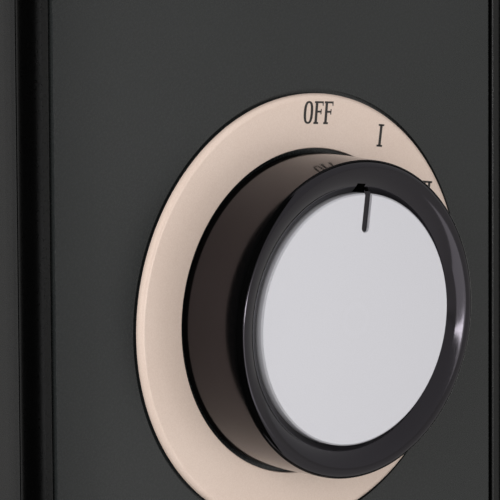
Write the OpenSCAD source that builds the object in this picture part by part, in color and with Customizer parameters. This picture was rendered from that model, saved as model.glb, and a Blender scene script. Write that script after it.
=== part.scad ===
// Free-standing convector heater. A sheet-steel housing stands between two
// moulded end caps on two feet, and its dials are on the right-hand end.
// The front faces -Y and the dials face +X. Z is up, and the origin is on the
// floor under the middle of the overall length, knobs included.

/* [Housing] */
// Overall length over both end caps
body_w = 600; // [560:1:760]
// Depth of the housing, front to back
body_d = 89; // [88:0.5:104]
// Height of the housing without its feet
body_h = 352; // [346:1:420]
// Height of the housing's underside above the floor
ground_gap = 50; // [46:1:70]
// Thickness of the housing's steel sheet
sheet_t = 0.8; // [0.6:0.1:1]
// Bend radius along the top of both panels
top_r = 12; // [10:1:14]
// Bend radius along the bottom of both panels
bottom_r = 8; // [6:1:10]
// Width of the flat lip beyond each long bend
lip_w = 4; // [3:0.5:5]
// Shadow line between a panel and an end cap
panel_seam = 0.6; // [0.4:0.1:1]

/* [End caps] */
// Thickness of an end cap's outer wall
cap_t = 2.6; // [2.4:0.1:3]
// Radius of the rounded edge round an end cap
cap_edge_r = 1.9; // [1:0.1:2.2]
// Depth of the flange that carries the panels
flange_l = 24; // [20:1:28]
// Wall of the flange
flange_t = 2.2; // [1.8:0.1:2.6]
// Width of the hand grip
grip_w = 62; // [56:1:70]
// Height of the hand grip
grip_h = 26; // [24:1:28]
// Depth of the hand grip
grip_depth = 22; // [20:1:26]

/* [Fascia and dials] */
// Width of the control fascia
fascia_w = 81; // [78:0.5:81]
// Height of the control fascia
fascia_h = 244; // [238:1:248]
// Thickness of the control fascia
fascia_t = 2.8; // [2.4:0.1:3.2]
// Groove between the fascia and the end cap
fascia_seam = 0.45; // [0.3:0.05:0.6]
// Distance of the dials behind the fascia's middle line
dial_offset = 4; // [0:0.5:6]
// Height of the selector's centre below the housing's top
selector_drop = 140; // [130:1:146]
// Distance from the selector down to the thermostat dial
dial_pitch = 84; // [76:1:88]
// Outer radius of a dial ring
bezel_r = 30; // [28:0.5:32]
// Thickness of a dial ring
bezel_t = 0.9; // [0.8:0.1:1.6]
// Radius of a knob
knob_r = 22; // [21:0.1:23]
// Height of the crest of a knob's black rim above the fascia
knob_h = 11.9; // [11.4:0.1:12.5]
// Rounding of a knob's front edge
knob_edge_r = 1; // [0.6:0.1:1.6]
// Radius of the silver disc in a knob
disc_r = 17.4; // [16:0.1:18]
// Height of the silver disc's face above the fascia
disc_h = 11.4; // [10.8:0.1:12]
// Radius of a control shaft
shaft_r = 3; // [2.5:0.1:3.2]
// Angle of the selector's pointer from upright at OFF, clockwise
selector_rest = 8.4; // [0:0.1:12]
// Angle of the thermostat's pointer from upright at rest, clockwise
thermostat_rest = 225; // [210:1:230]

/* [Heating element] */
// Height of the two elements above the housing's underside
element_rise = 100; // [90:1:130]
// Distance of each element from the middle plane
element_y = 15; // [14.5:0.5:17]
// Radius of the sheathed heating rods
rod_r = 4.2; // [3.5:0.1:4.6]
// Reach of a fin from its rod's centre
fin_reach = 17; // [15:0.5:17]
// Length of the control compartment at the right end
bay_l = 74; // [70:1:84]

/* [Feet] */
// Length of a foot, front to back
foot_d = 210; // [190:1:240]
// Width of a foot
foot_w = 46; // [44:1:56]
// Height of the rubber pads under a foot
pad_h = 3; // [2:0.5:4]
// Radius of the rubber pads
pad_r = 9; // [7:0.5:11]

/* [Hidden] */

$fn = 64;
half_w = body_w / 2;
// The knobs stand out of the right end, so the housing sits to the left of the origin
housing_x = -max(knob_h, disc_h) / 2;
half_d = body_d / 2;
z_bottom = ground_gap;
z_top = ground_gap + body_h;
// A hair of overlap where two shapes of one piece are joined
join = 0.2;
// Reach of a cut past the face that it opens
past = 2;
arc_steps = 12;
// Clearance of a screw shank in its hole
screw_clear = 0.05;
// Radial clearance of a shaft in its bearing
shaft_clear = 0.05;

shadow_grey = "#3a3c3b";
cap_black = "#2b2c2c";
champagne = "#d5c0b0";
gloss_black = "#121213";
satin_silver = "#cfcfd2";
zinc = "#b9bcc0";
aluminium = "#c6c8ca";
ceramic_white = "#e9e4d8";
phenolic = "#4a2f22";
nylon_white = "#e6e6e0";
brass = "#c9a55a";
rubber_black = "#1c1c1c";
amber = "#ff8a1e";
lead_red = "#8e2f2a";

panel_half = half_w - cap_t - panel_seam;
lip_top_y = half_d - top_r - lip_w;
lip_bottom_y = half_d - bottom_r - lip_w;
grille_t = 1;
grille_lap = 3.4;
grille_half = half_w - flange_l - 0.3;
slot_w = 5;
slot_pitch = 10;
slot_zone = body_w - 160;
slot_count = floor(slot_zone / slot_pitch / 2) * 2 + 1;

// Heights of the fascia's top above the selector and of the lamp above its bottom
fascia_above = 80;
lamp_above = 20;
fascia_top = z_top - selector_drop + fascia_above;
fascia_mid_z = fascia_top - fascia_h / 2;
fascia_corner_r = 6;
tray_t = 2.2;
tray_rim = 1.6;
// Depth of the tray floor's inner face under the end cap's outer face
tray_depth = fascia_t + tray_t;
selector_z = z_top - selector_drop;
thermostat_z = selector_z - dial_pitch;
lamp_z = fascia_top - fascia_h + lamp_above;
grip_z = z_top - 30;
grip_wall = 2;
grip_corner_r = 6;

bezel_hole_r = knob_r + 0.8;
peg_r = 1.5;
peg_clear = 0.1;
peg_circle_r = (bezel_r + bezel_hole_r) / 2;
knob_foot = 0.4;
knob_wall = 2;
knob_seat = 9.4;
// Height of a knob's rim beside its disc, where it dips under the crest
knob_dip = 10.2;
disc_gap = 0.1;
// Small notch in the rim, beside the pointer
notch_l = 1.3;
notch_w = 1.6;
boss_r = shaft_r + 3;
boss_bottom = -2.5;
boss_hole_r = boss_r + 2.2;
clip_t = 0.5;
clip_w = 3;
bore_top = 6.4;
shaft_top = 6.2;
shaft_tail = 24;
pointer_w = 1.35;
pointer_l = 5.4;
switch_side = 32;
switch_deep = 22;
neck_r = shaft_r + 2.5;
ear_reach = 24;
ear_w = 12;
ear_t = 3;
control_screw_r = 1.75;
tab_l = 8;
// Places of the terminals behind each control, as [height, depth] from its axis
selector_tabs = [[-10, -9], [-10, 9], [10, -9], [10, 9]];
thermostat_tabs = [[-9, 0], [9, 0]];

element_z = z_bottom + element_rise;
bracket_t = 1;
right_bracket_x = half_w - bay_l;
left_bracket_x = -(half_w - 36);
bracket_low = z_bottom + 16;
bracket_high = z_top - 92;
bracket_flange = 12;
inner_d = half_d - sheet_t;
shield_y = inner_d - 8;
shield_t = 0.5;
shield_tab = 10;
shield_inset = 12;
bush_neck_r = rod_r + 3.2;
bush_collar_r = rod_r + 6.4;
bush_collar_t = 4;
bush_tail = 6;
fin_end_gap = 3;

foot_x = half_w - foot_w / 2 - 2;
foot_top_half = half_d - bottom_r + 2;
foot_screw_y = 20;
foot_boss_x = half_w - 13;
foot_boss_h = 16;
foot_pocket_r = 4.5;
foot_skin = 12;

cutout_z = bracket_high - 76;
tilt_y = -20;
tilt_z = z_bottom + 46;
tilt_w = 34;
tilt_h = 40;
tilt_deep = 22;
tilt_pivot_z = tilt_z + 12;
tilt_pin_r = 1.5;
block_y = 20;
block_z = z_bottom + 46;
inlet_x = half_w - 38;
inlet_z = z_bottom + 34;
inlet_r = 4;

panel_screw_r = 1.9;
// Places of the screws through the rear panel, the underside and the brackets
rear_screw_x = half_w - 13;
rear_screw_z = [z_bottom + 26, z_bottom + body_h / 2, z_top - 56];
front_screw_y = lip_bottom_y + lip_w / 2 + 1;
bracket_screw_x = [left_bracket_x - bracket_t - 6, right_bracket_x + bracket_t + 6];
bracket_screw_z = [bracket_low + 20, bracket_high - 20];
// Side of the solid pads that the panel screws bite into
pad_block = 11;
front_slot_l = 30;
front_slot_z = z_top - 36;
rear_slot_l = 40;
rear_slot_z = [z_bottom + 48, z_top - 50];

// Blank rating label on the rear panel
label_w = 80;
label_h = 46;
label_t = 0.2;
label_x = 60;
label_rise = 130;

lamp_r = 4;
lamp_lens_r = 5.5;
fascia_screw_r = 1.4;
fascia_screw_at = [for (s = [-1, 1], z = [fascia_top - 22, fascia_top - fascia_h + 14])
    [s * (fascia_w / 2 - 8), z]];

rivet_r = 1.6;
// Length of the bare pin at each end of a heating rod
pin_l = 12;
bay_x = right_bracket_x + bracket_t;
bay_screw_r = 1.4;
block_w = 16;
block_h = 46;
block_way = 12;
block_wire_x = bay_x + 6;
block_deep = 15;
// Heights of the block's ways from its middle
block_ways = [-block_way, 0, block_way];
// Screws into the right bracket from the bay, each as [y, z, height of its seat]
bay_screw_at = concat(
    [for (s = [-1, 1]) [tilt_y, tilt_z + s * (tilt_h / 2 + 4), 3]],
    [for (s = [-1, 1]) [block_y, block_z + s * (block_h / 2 - 4), block_deep - 5]],
    [for (s = [-1, 1]) [s * 17, cutout_z, 0]]);
lead_r = 1.4;
lead_sides = 8;

// Points along an arc, from angle a0 to angle a1
function arc(centre, r, a0, a1) =
    [for (i = [0:arc_steps]) let (a = a0 + (a1 - a0) * i / arc_steps)
        centre + r * [cos(a), sin(a)]];

// Side outline of the housing in Y and Z, drawn in by an inset
function housing_outline(inset) = concat(
    arc([half_d - top_r, z_top - top_r], top_r - inset, 0, 90),
    arc([-half_d + top_r, z_top - top_r], top_r - inset, 90, 180),
    arc([-half_d + bottom_r, z_bottom + bottom_r], bottom_r - inset, 180, 270),
    arc([half_d - bottom_r, z_bottom + bottom_r], bottom_r - inset, 270, 360));

// Path of the front sheet from its top lip to its bottom lip
function panel_path(inset) = concat(
    [[-lip_top_y, z_top - inset]],
    arc([-half_d + top_r, z_top - top_r], top_r - inset, 90, 180),
    arc([-half_d + bottom_r, z_bottom + bottom_r], bottom_r - inset, 180, 270),
    [[-lip_bottom_y, z_bottom + inset]]);

function reversed(points) = [for (i = [len(points) - 1:-1:0]) points[i]];

// Extrudes a Y-Z outline along X
module along_x(from, length) {
    translate([from, 0, 0]) rotate([90, 0, 90]) linear_extrude(length) children();
}

// A flat shape laid in Y and Z on the right end, its +Z turned outwards
module on_right_end(y, z) {
    translate([half_w, y, z]) rotate([0, 90, 0]) children();
}

module outline_2d(inset) {
    polygon(housing_outline(inset));
}

module rounded_2d(w, h, r) {
    square([w - 2 * r, h], center = true);
    square([w, h - 2 * r], center = true);
    for (sx = [-1, 1], sy = [-1, 1]) {
        translate([sx * (w / 2 - r), sy * (h / 2 - r)]) circle(r);
    }
}

module slot_2d(w, l) {
    square([w, l - w], center = true);
    for (s = [-1, 1]) translate([0, s * (l - w) / 2]) circle(w / 2);
}

module slot_row(l) {
    for (i = [0:slot_count - 1]) {
        translate([(i - (slot_count - 1) / 2) * slot_pitch, 0]) slot_2d(slot_w, l);
    }
}

// Pan-head screw along Z, its head's underside at zero
module screw(length, shank_r, head_r, head_h) {
    difference() {
        cylinder(h = head_h, r = head_r);
        for (turn = [0, 90]) {
            rotate(turn) translate([-head_r * 0.6, -0.4, head_h - 0.8])
                cube([head_r * 1.2, 0.8, past]);
        }
    }
    translate([0, 0, -length]) cylinder(h = length + join, r = shank_r);
}

// Housing panels

module panel_sheet() {
    along_x(-panel_half, 2 * panel_half)
        polygon(concat(panel_path(0), reversed(panel_path(sheet_t))));
}

module front_panel() {
    color(shadow_grey) difference() {
        panel_sheet();
        translate([0, -half_d + past, front_slot_z]) rotate([90, 0, 0])
            linear_extrude(2 * past) slot_row(front_slot_l);
        for (s = [-1, 1]) {
            translate([s * rear_screw_x, -front_screw_y, z_bottom - past])
                cylinder(h = 2 * past, r = panel_screw_r + 0.2);
        }
    }
}

module rear_panel() {
    color(shadow_grey) difference() {
        mirror([0, 1, 0]) panel_sheet();
        for (z = rear_slot_z) {
            translate([0, half_d + past, z]) rotate([90, 0, 0])
                linear_extrude(2 * past) slot_row(rear_slot_l);
        }
        for (s = [-1, 1], z = rear_screw_z) {
            translate([s * rear_screw_x, half_d - past, z]) rotate([-90, 0, 0])
                cylinder(h = 2 * past, r = panel_screw_r + 0.2);
        }
        for (x = bracket_screw_x, z = bracket_screw_z) {
            translate([x, half_d - past, z]) rotate([-90, 0, 0])
                cylinder(h = 2 * past, r = panel_screw_r + 0.2);
        }
        translate([inlet_x, half_d - past, inlet_z]) rotate([-90, 0, 0])
            cylinder(h = 2 * past, r = inlet_r + 3.05);
    }
}

module grille(lip_y, z) {
    plate_y = lip_y + grille_lap;
    row_l = lip_y - 4;
    difference() {
        translate([-grille_half, -plate_y, z]) cube([2 * grille_half, 2 * plate_y, grille_t]);
        for (s = [-1, 1]) {
            translate([0, s * (row_l / 2 + 2), z - past])
                linear_extrude(grille_t + 2 * past) slot_row(row_l);
        }
    }
}

module top_outlet_grille() {
    color(shadow_grey) grille(lip_top_y, z_top - sheet_t - grille_t);
}

module bottom_inlet_grille() {
    color(shadow_grey) grille(lip_bottom_y, z_bottom + sheet_t);
}

// End caps, drawn at the right end

// Outer wall with its rounded edge: a hull of four turned corners
module cap_wall() {
    hull() {
        for (s = [-1, 1], corner = [[z_top, -1, top_r], [z_bottom, 1, bottom_r]]) {
            r = corner[2];
            translate([half_w, s * (half_d - r), corner[0] + corner[1] * r])
                rotate([0, 90, 0]) rotate_extrude($fn = 48)
                    polygon(concat([[0, -cap_t], [r, -cap_t]],
                        arc([r - cap_edge_r, -cap_edge_r], cap_edge_r, 0, 90), [[0, 0]]));
        }
    }
}

module cap_flange() {
    along_x(half_w - flange_l, flange_l - cap_t + join) difference() {
        outline_2d(sheet_t);
        outline_2d(sheet_t + flange_t);
    }
}

// Solid pads inside the flange that the panel screws bite into
module cap_screw_pads() {
    inner = half_d - sheet_t - flange_t;
    for (z = rear_screw_z) {
        translate([rear_screw_x - pad_block / 2, inner - 7, z - pad_block / 2])
            cube([pad_block, 7 + join, pad_block]);
    }
    translate([rear_screw_x - pad_block / 2, -front_screw_y - 5, z_bottom + sheet_t + flange_t - join])
        cube([pad_block, 10, 9]);
    for (s = [-1, 1]) {
        translate([foot_boss_x, s * foot_screw_y, z_bottom])
            cylinder(h = foot_boss_h, r = 5.5);
    }
}

module cap_holes() {
    for (z = rear_screw_z) {
        translate([rear_screw_x, half_d - 12, z]) rotate([-90, 0, 0])
            cylinder(h = 14, r = panel_screw_r + screw_clear);
    }
    translate([rear_screw_x, -front_screw_y, z_bottom - past])
        cylinder(h = 13, r = panel_screw_r + screw_clear);
    for (s = [-1, 1]) {
        translate([foot_boss_x, s * foot_screw_y, z_bottom - past])
            cylinder(h = foot_boss_h, r = panel_screw_r + screw_clear);
    }
}

module grip_2d(extra) {
    rounded_2d(grip_h + 2 * extra, grip_w + 2 * extra, grip_corner_r + extra);
}

module plain_end_cap() {
    difference() {
        union() {
            cap_wall();
            cap_flange();
            cap_screw_pads();
            on_right_end(0, grip_z) translate([0, 0, -grip_depth - grip_wall])
                linear_extrude(grip_depth + grip_wall - cap_t + join) grip_2d(grip_wall);
        }
        on_right_end(0, grip_z) translate([0, 0, -grip_depth])
            linear_extrude(grip_depth + past) grip_2d(0);
        cap_holes();
    }
}

module left_end_cap() {
    color(cap_black) mirror([1, 0, 0]) plain_end_cap();
}

// Fascia outline laid with its height along the local X axis
module fascia_2d(extra) {
    rounded_2d(fascia_h + 2 * extra, fascia_w + 2 * extra, fascia_corner_r + extra);
}

module at_controls() {
    for (z = [selector_z, thermostat_z]) on_right_end(dial_offset, z) children();
}

module peg_pattern() {
    for (turn = [60, 180, 300]) rotate(turn) translate([peg_circle_r, 0, 0]) children();
}

module right_end_cap() {
    color(cap_black) difference() {
        union() {
            plain_end_cap();
            on_right_end(0, fascia_mid_z) translate([0, 0, -tray_depth])
                linear_extrude(tray_depth - cap_t / 2) fascia_2d(fascia_seam + tray_rim);
        }
        on_right_end(0, fascia_mid_z) translate([0, 0, -fascia_t])
            linear_extrude(fascia_t + past) fascia_2d(fascia_seam);
        at_controls() {
            translate([0, 0, -tray_depth - past]) cylinder(h = tray_depth, r = boss_hole_r);
            for (s = [-1, 1]) translate([s * (ear_reach - 4), 0, -tray_depth - past]) {
                cylinder(h = tray_depth, r = control_screw_r + screw_clear);
                translate([0, 0, tray_t + past - 1.5]) cylinder(h = 2, r = 3.2);
            }
            translate([0, 0, -tray_depth - past]) peg_pattern()
                cylinder(h = tray_depth, r = peg_r + peg_clear);
        }
        on_right_end(dial_offset, lamp_z) translate([0, 0, -tray_depth - past])
            cylinder(h = tray_depth, r = lamp_r + 0.1);
        fascia_screw_holes(tray_depth + past);
    }
}

// Control fascia and pilot lamp

module fascia_screw_holes(depth) {
    for (at = fascia_screw_at) on_right_end(at[0], at[1])
        translate([0, 0, -depth]) cylinder(h = depth - 1, r = fascia_screw_r + screw_clear);
}

module control_fascia() {
    color(shadow_grey) difference() {
        on_right_end(0, fascia_mid_z) translate([0, 0, -fascia_t])
            linear_extrude(fascia_t) fascia_2d(0);
        at_controls() {
            translate([0, 0, -fascia_t - past]) cylinder(h = 2 * past + fascia_t, r = boss_hole_r);
            translate([0, 0, -fascia_t - past]) peg_pattern()
                cylinder(h = 2 * past + fascia_t, r = peg_r + peg_clear);
        }
        on_right_end(dial_offset, lamp_z) translate([0, 0, -fascia_t - past])
            cylinder(h = 2 * past + fascia_t, r = lamp_r + 0.1);
        for (at = fascia_screw_at) on_right_end(at[0], at[1])
            translate([0, 0, -fascia_t - past])
                cylinder(h = past + fascia_t - 0.8, r = fascia_screw_r + screw_clear);
    }
}

module fascia_screws() {
    color(zinc) for (at = fascia_screw_at) on_right_end(at[0], at[1])
        translate([0, 0, -tray_depth]) rotate([180, 0, 0])
            screw(tray_depth - 1, fascia_screw_r, 2.8, 1.8);
}

module pilot_lamp_lens() {
    color(amber) on_right_end(dial_offset, lamp_z) {
        rotate_extrude()
            polygon(concat([[0, 0], [lamp_lens_r, 0]], arc([lamp_lens_r - 1.4, 0.4], 1.4, 0, 90),
                [[0, 1.8]]));
        translate([0, 0, -tray_depth - 2]) cylinder(h = tray_depth + 2 + join, r = lamp_r);
    }
}

module pilot_lamp_body() {
    color(nylon_white) on_right_end(dial_offset, lamp_z) translate([0, 0, -tray_depth - 14]) {
        difference() {
            cylinder(h = 14, r = lamp_r + 1.5);
            translate([0, 0, 11.9]) cylinder(h = 4, r = lamp_r + 0.05);
        }
        for (s = [-1, 1]) translate([s * 2.4 - 0.4, -1.4, -6]) cube([0.8, 2.8, 6 + join]);
    }
}

// Dial parts, drawn about their own axis with the fascia's face at zero

module bezel() {
    edge = bezel_t - 0.1;
    rotate_extrude($fn = 128)
        polygon(concat([[bezel_hole_r, 0], [bezel_r, 0]],
            arc([bezel_r - edge, bezel_t - edge], edge, 0, 90), [[bezel_hole_r, bezel_t]]));
    translate([0, 0, -tray_depth + 0.4]) peg_pattern()
        cylinder(h = tray_depth, r = peg_r);
}

// Hollow from the crest of a knob's rim down to its disc, as an arc
function knob_dish() =
    let (w = knob_r - knob_edge_r - disc_r - disc_gap, d = knob_h - knob_dip,
        r = (w * w + d * d) / (2 * d))
    arc([knob_r - knob_edge_r, knob_h - r], r, 90, 90 + asin(w / r));

// Shaft end with its flat, grown by a clearance
module d_shaft(length, clear) {
    difference() {
        cylinder(h = length, r = shaft_r + clear);
        translate([shaft_r / 2 + clear, -2 * shaft_r, -1])
            cube([2 * shaft_r, 4 * shaft_r, length + 2]);
    }
}

module knob() {
    difference() {
        union() {
            rotate_extrude($fn = 128)
                polygon(concat([[0, knob_seat - knob_wall], [knob_r - knob_wall, knob_seat - knob_wall],
                    [knob_r - knob_wall, knob_foot], [knob_r, knob_foot]],
                    arc([knob_r - knob_edge_r, knob_h - knob_edge_r], knob_edge_r, 0, 88),
                    knob_dish(), [[disc_r + disc_gap, knob_seat], [0, knob_seat]]));
            translate([0, 0, boss_bottom])
                cylinder(h = knob_seat - knob_wall - boss_bottom + join, r = boss_r);
            translate([-disc_r, -pointer_w / 2 + 0.08, knob_seat - join])
                cube([pointer_l - 0.1, pointer_w - 0.16, disc_h - knob_seat + join - 0.35]);
        }
        translate([0, 0, boss_bottom - 1]) d_shaft(bore_top - boss_bottom + 1, 0.03);
        translate([-disc_r - notch_l, -pointer_w / 2 - notch_w, knob_seat])
            cube([notch_l, notch_w, knob_h - knob_seat]);
    }
}

module knob_disc() {
    bevel = 0.2;
    difference() {
        rotate_extrude($fn = 128)
            polygon([[0, knob_seat], [disc_r, knob_seat], [disc_r, disc_h - bevel],
                [disc_r - bevel, disc_h], [0, disc_h]]);
        translate([-disc_r - 1, -pointer_w / 2, knob_seat - 1])
            cube([pointer_l + 1 - pointer_w / 2, pointer_w, 5]);
        translate([-disc_r + pointer_l - pointer_w / 2, 0, knob_seat - 1])
            cylinder(h = 5, r = pointer_w / 2);
    }
}

module knob_clip() {
    translate([0, 0, boss_bottom + 1]) difference() {
        cylinder(h = clip_w, r = boss_r + clip_t);
        translate([0, 0, -1]) cylinder(h = clip_w + 2, r = boss_r);
        translate([0, -1.5, -1]) cube([boss_r + 2, 3, clip_w + 2]);
    }
}

module control_shaft() {
    translate([0, 0, -tray_depth - shaft_tail + 4])
        cylinder(h = shaft_tail - 4 + tray_depth + boss_bottom, r = shaft_r);
    translate([0, 0, boss_bottom - join]) d_shaft(shaft_top - boss_bottom + join, 0);
}

// Housing of a rotary control: a body behind the tray and two screwed ears
module control_case(w, h, deep) {
    difference() {
        union() {
            translate([-h / 2, -w / 2, -tray_depth - deep]) cube([h, w, deep]);
            translate([-ear_reach, -ear_w / 2, -tray_depth - ear_t]) cube([2 * ear_reach, ear_w, ear_t]);
            translate([0, 0, -tray_depth - join]) cylinder(h = 1.6 + join, r = neck_r);
        }
        translate([0, 0, -tray_depth - shaft_tail + 3.5])
            cylinder(h = shaft_tail, r = shaft_r + shaft_clear);
        for (s = [-1, 1]) translate([s * (ear_reach - 4), 0, -tray_depth - 8])
            cylinder(h = 10, r = control_screw_r + screw_clear);
    }
}

module at_selector(turn) {
    on_right_end(dial_offset, selector_z) rotate(-turn) children();
}

module at_thermostat(turn) {
    on_right_end(dial_offset, thermostat_z) rotate(-turn) children();
}

module selector_bezel() {
    color(champagne) at_selector(0) bezel();
}

module selector_knob() {
    color(gloss_black) at_selector(selector_rest) knob();
}

module selector_knob_disc() {
    color(satin_silver) at_selector(selector_rest) knob_disc();
}

module selector_knob_clip() {
    color(zinc) at_selector(selector_rest) knob_clip();
}

module selector_shaft() {
    color(zinc) at_selector(selector_rest) control_shaft();
}

module selector_switch() {
    color(phenolic) at_selector(0) control_case(switch_side, switch_side, switch_deep);
}

module thermostat_bezel() {
    color(champagne) at_thermostat(0) bezel();
}

module thermostat_knob() {
    color(gloss_black) at_thermostat(thermostat_rest) knob();
}

module thermostat_knob_disc() {
    color(satin_silver) at_thermostat(thermostat_rest) knob_disc();
}

module thermostat_knob_clip() {
    color(zinc) at_thermostat(thermostat_rest) knob_clip();
}

module thermostat_shaft() {
    color(zinc) at_thermostat(thermostat_rest) control_shaft();
}

module thermostat_body() {
    color(nylon_white) at_thermostat(0) control_case(26, 32, switch_deep);
}

// Push-on terminals behind each control

module terminal_tab() {
    translate([-3.15, -0.4, -tab_l]) cube([6.3, 0.8, tab_l]);
}

module control_terminals() {
    color(brass) {
        for (at = selector_tabs) on_right_end(dial_offset, selector_z)
            translate([-at[0], at[1], -tray_depth - switch_deep]) terminal_tab();
        for (at = thermostat_tabs) on_right_end(dial_offset, thermostat_z)
            translate([-at[0], at[1], -tray_depth - switch_deep]) terminal_tab();
    }
}

module control_screws() {
    color(zinc) at_controls() for (s = [-1, 1])
        translate([s * (ear_reach - 4), 0, -fascia_t - 1.4]) screw(8, control_screw_r, 3, 1.2);
}

// Heating elements: an extruded profile of four finned arms on each rod

module finned_arm() {
    arm_t = 1.4;
    translate([0, -arm_t / 2]) square([fin_reach, arm_t]);
    for (x = [rod_r + 5:4:fin_reach - 1]) {
        translate([x, -(x - rod_r) * 0.36]) square([1, (x - rod_r) * 0.72]);
    }
}

module heating_fins(y) {
    from = left_bracket_x + bush_collar_t + fin_end_gap;
    to = right_bracket_x - bush_collar_t - fin_end_gap;
    color(aluminium) along_x(from, to - from) translate([y, element_z]) difference() {
        union() {
            circle(rod_r + 1.8);
            for (turn = [45:90:315]) rotate(turn) finned_arm();
        }
        circle(rod_r + 0.05);
    }
}

module front_heating_fins() {
    heating_fins(-element_y);
}

module rear_heating_fins() {
    heating_fins(element_y);
}

module heating_rods() {
    from = left_bracket_x - bracket_t - bush_tail;
    to = right_bracket_x + bracket_t + bush_tail;
    color(zinc) for (s = [-1, 1]) translate([0, s * element_y, element_z]) rotate([0, 90, 0]) {
        translate([0, 0, from]) cylinder(h = to - from, r = rod_r);
        translate([0, 0, from - pin_l]) cylinder(h = to - from + 2 * pin_l, r = 1.6);
    }
}

// A bush at the inner face of the right bracket, its tail through the sheet
module ceramic_bush() {
    rotate([0, 90, 0]) difference() {
        union() {
            translate([0, 0, -bush_collar_t]) cylinder(h = bush_collar_t, r = bush_collar_r);
            translate([0, 0, -join]) cylinder(h = bracket_t + bush_tail + join, r = bush_neck_r);
        }
        translate([0, 0, -bush_collar_t - 1])
            cylinder(h = bush_collar_t + bush_tail + bracket_t + 2, r = rod_r + 0.08);
    }
}

module ceramic_bushes() {
    color(ceramic_white) for (s = [-1, 1]) {
        translate([right_bracket_x, s * element_y, element_z]) ceramic_bush();
        translate([left_bracket_x, s * element_y, element_z]) mirror([1, 0, 0]) ceramic_bush();
    }
}

// Sheet bracket with flanges on both panels; its inner face is at X zero
module element_bracket() {
    high = bracket_high - bracket_low;
    difference() {
        union() {
            translate([0, -inner_d, bracket_low]) cube([bracket_t, 2 * inner_d, high]);
            for (s = [-1, 1]) translate([0, s < 0 ? -inner_d : inner_d - bracket_t, bracket_low])
                cube([bracket_flange, bracket_t, high]);
        }
        for (s = [-1, 1]) translate([-1, s * element_y, element_z]) rotate([0, 90, 0])
            cylinder(h = 4, r = bush_neck_r + 0.1);
        for (z = bracket_screw_z) translate([bracket_t + 6, inner_d - 3, z]) rotate([-90, 0, 0])
            cylinder(h = 5, r = panel_screw_r + screw_clear);
        rivet_places() cylinder(h = 4, r = rivet_r + screw_clear, center = true);
        for (y = [-8, 8]) translate([0, y, cutout_z]) rotate([0, 90, 0])
            cylinder(h = 4, r = 4, center = true);
    }
}

// Rivet axes through a bracket's sheet, four to a bracket
module rivet_places() {
    for (s = [-1, 1], z = [bracket_low + 70, bracket_high - 34])
        translate([bracket_t / 2, s * (shield_y - shield_tab / 2), z]) rotate([0, 90, 0]) children();
}

module left_element_bracket() {
    color(zinc) translate([left_bracket_x, 0, 0]) mirror([1, 0, 0]) element_bracket();
}

module right_element_bracket() {
    color(zinc) translate([right_bracket_x, 0, 0]) difference() {
        element_bracket();
        bay_screw_places() cylinder(h = 6, r = bay_screw_r + screw_clear, center = true);
    }
}

module bracket_screws() {
    color(zinc) for (x = bracket_screw_x, z = bracket_screw_z)
        translate([x, half_d, z]) rotate([-90, 0, 0]) screw(6, panel_screw_r, 3.8, 2.2);
}

// Heat shield behind a panel, with a tab on each bracket
module heat_shield() {
    length = right_bracket_x - left_bracket_x;
    low = bracket_low + shield_inset;
    high = bracket_high - bracket_low - 2 * shield_inset;
    difference() {
        translate([left_bracket_x, -shield_y, low]) {
            cube([length, shield_t, high]);
            cube([shield_t, shield_tab, high]);
            translate([length - shield_t, 0, 0]) cube([shield_t, shield_tab, high]);
        }
        for (x = [left_bracket_x - bracket_t / 2, right_bracket_x])
            translate([x, 0, 0]) rivet_places() cylinder(h = 6, r = rivet_r + screw_clear, center = true);
    }
}

module front_heat_shield() {
    color(aluminium) heat_shield();
}

module rear_heat_shield() {
    color(aluminium) mirror([0, 1, 0]) heat_shield();
}

// Rivets of one bracket: a low head on the shield's tab and one on the bracket
module bracket_rivets() {
    rivet_places() {
        translate([0, 0, -bracket_t / 2 - shield_t - 0.9]) cylinder(h = 0.9, r = 3);
        translate([0, 0, bracket_t / 2]) cylinder(h = 0.9, r = 2.6);
        cylinder(h = bracket_t + 2 * shield_t + 1, r = rivet_r, center = true);
    }
}

module shield_rivets() {
    color(aluminium) {
        translate([right_bracket_x, 0, 0]) bracket_rivets();
        translate([left_bracket_x, 0, 0]) mirror([1, 0, 0]) bracket_rivets();
    }
}

// Parts in the control bay, carried by the right bracket

module bay_screw_places() {
    for (at = bay_screw_at) translate([0, at[0], at[1]]) rotate([0, 90, 0]) children();
}

module bay_screws() {
    color(zinc) for (at = bay_screw_at)
        translate([bay_x + at[2], at[0], at[1]]) rotate([0, 90, 0])
            screw(at[2] + bracket_t + 3, bay_screw_r, 2.7, 1.8);
}

// Snap-disc cut-out on the element side of the bracket, its tabs in the bay
module thermal_cutout() {
    color(phenolic) translate([right_bracket_x, 0, cutout_z]) {
        rotate([0, -90, 0]) cylinder(h = 7, r = 8);
        translate([-1, 0, 0]) difference() {
            translate([0, -22, -6]) cube([1, 44, 12]);
            for (s = [-1, 1]) translate([-1, s * 17, 0]) rotate([0, 90, 0])
                cylinder(h = 3, r = bay_screw_r + screw_clear);
        }
        for (y = [-8, 8]) translate([-2, y - 3.15, -0.4]) cube([13, 6.3, 0.8]);
    }
}

// Tip-over switch: a pendulum on a pin between two cheeks

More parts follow.
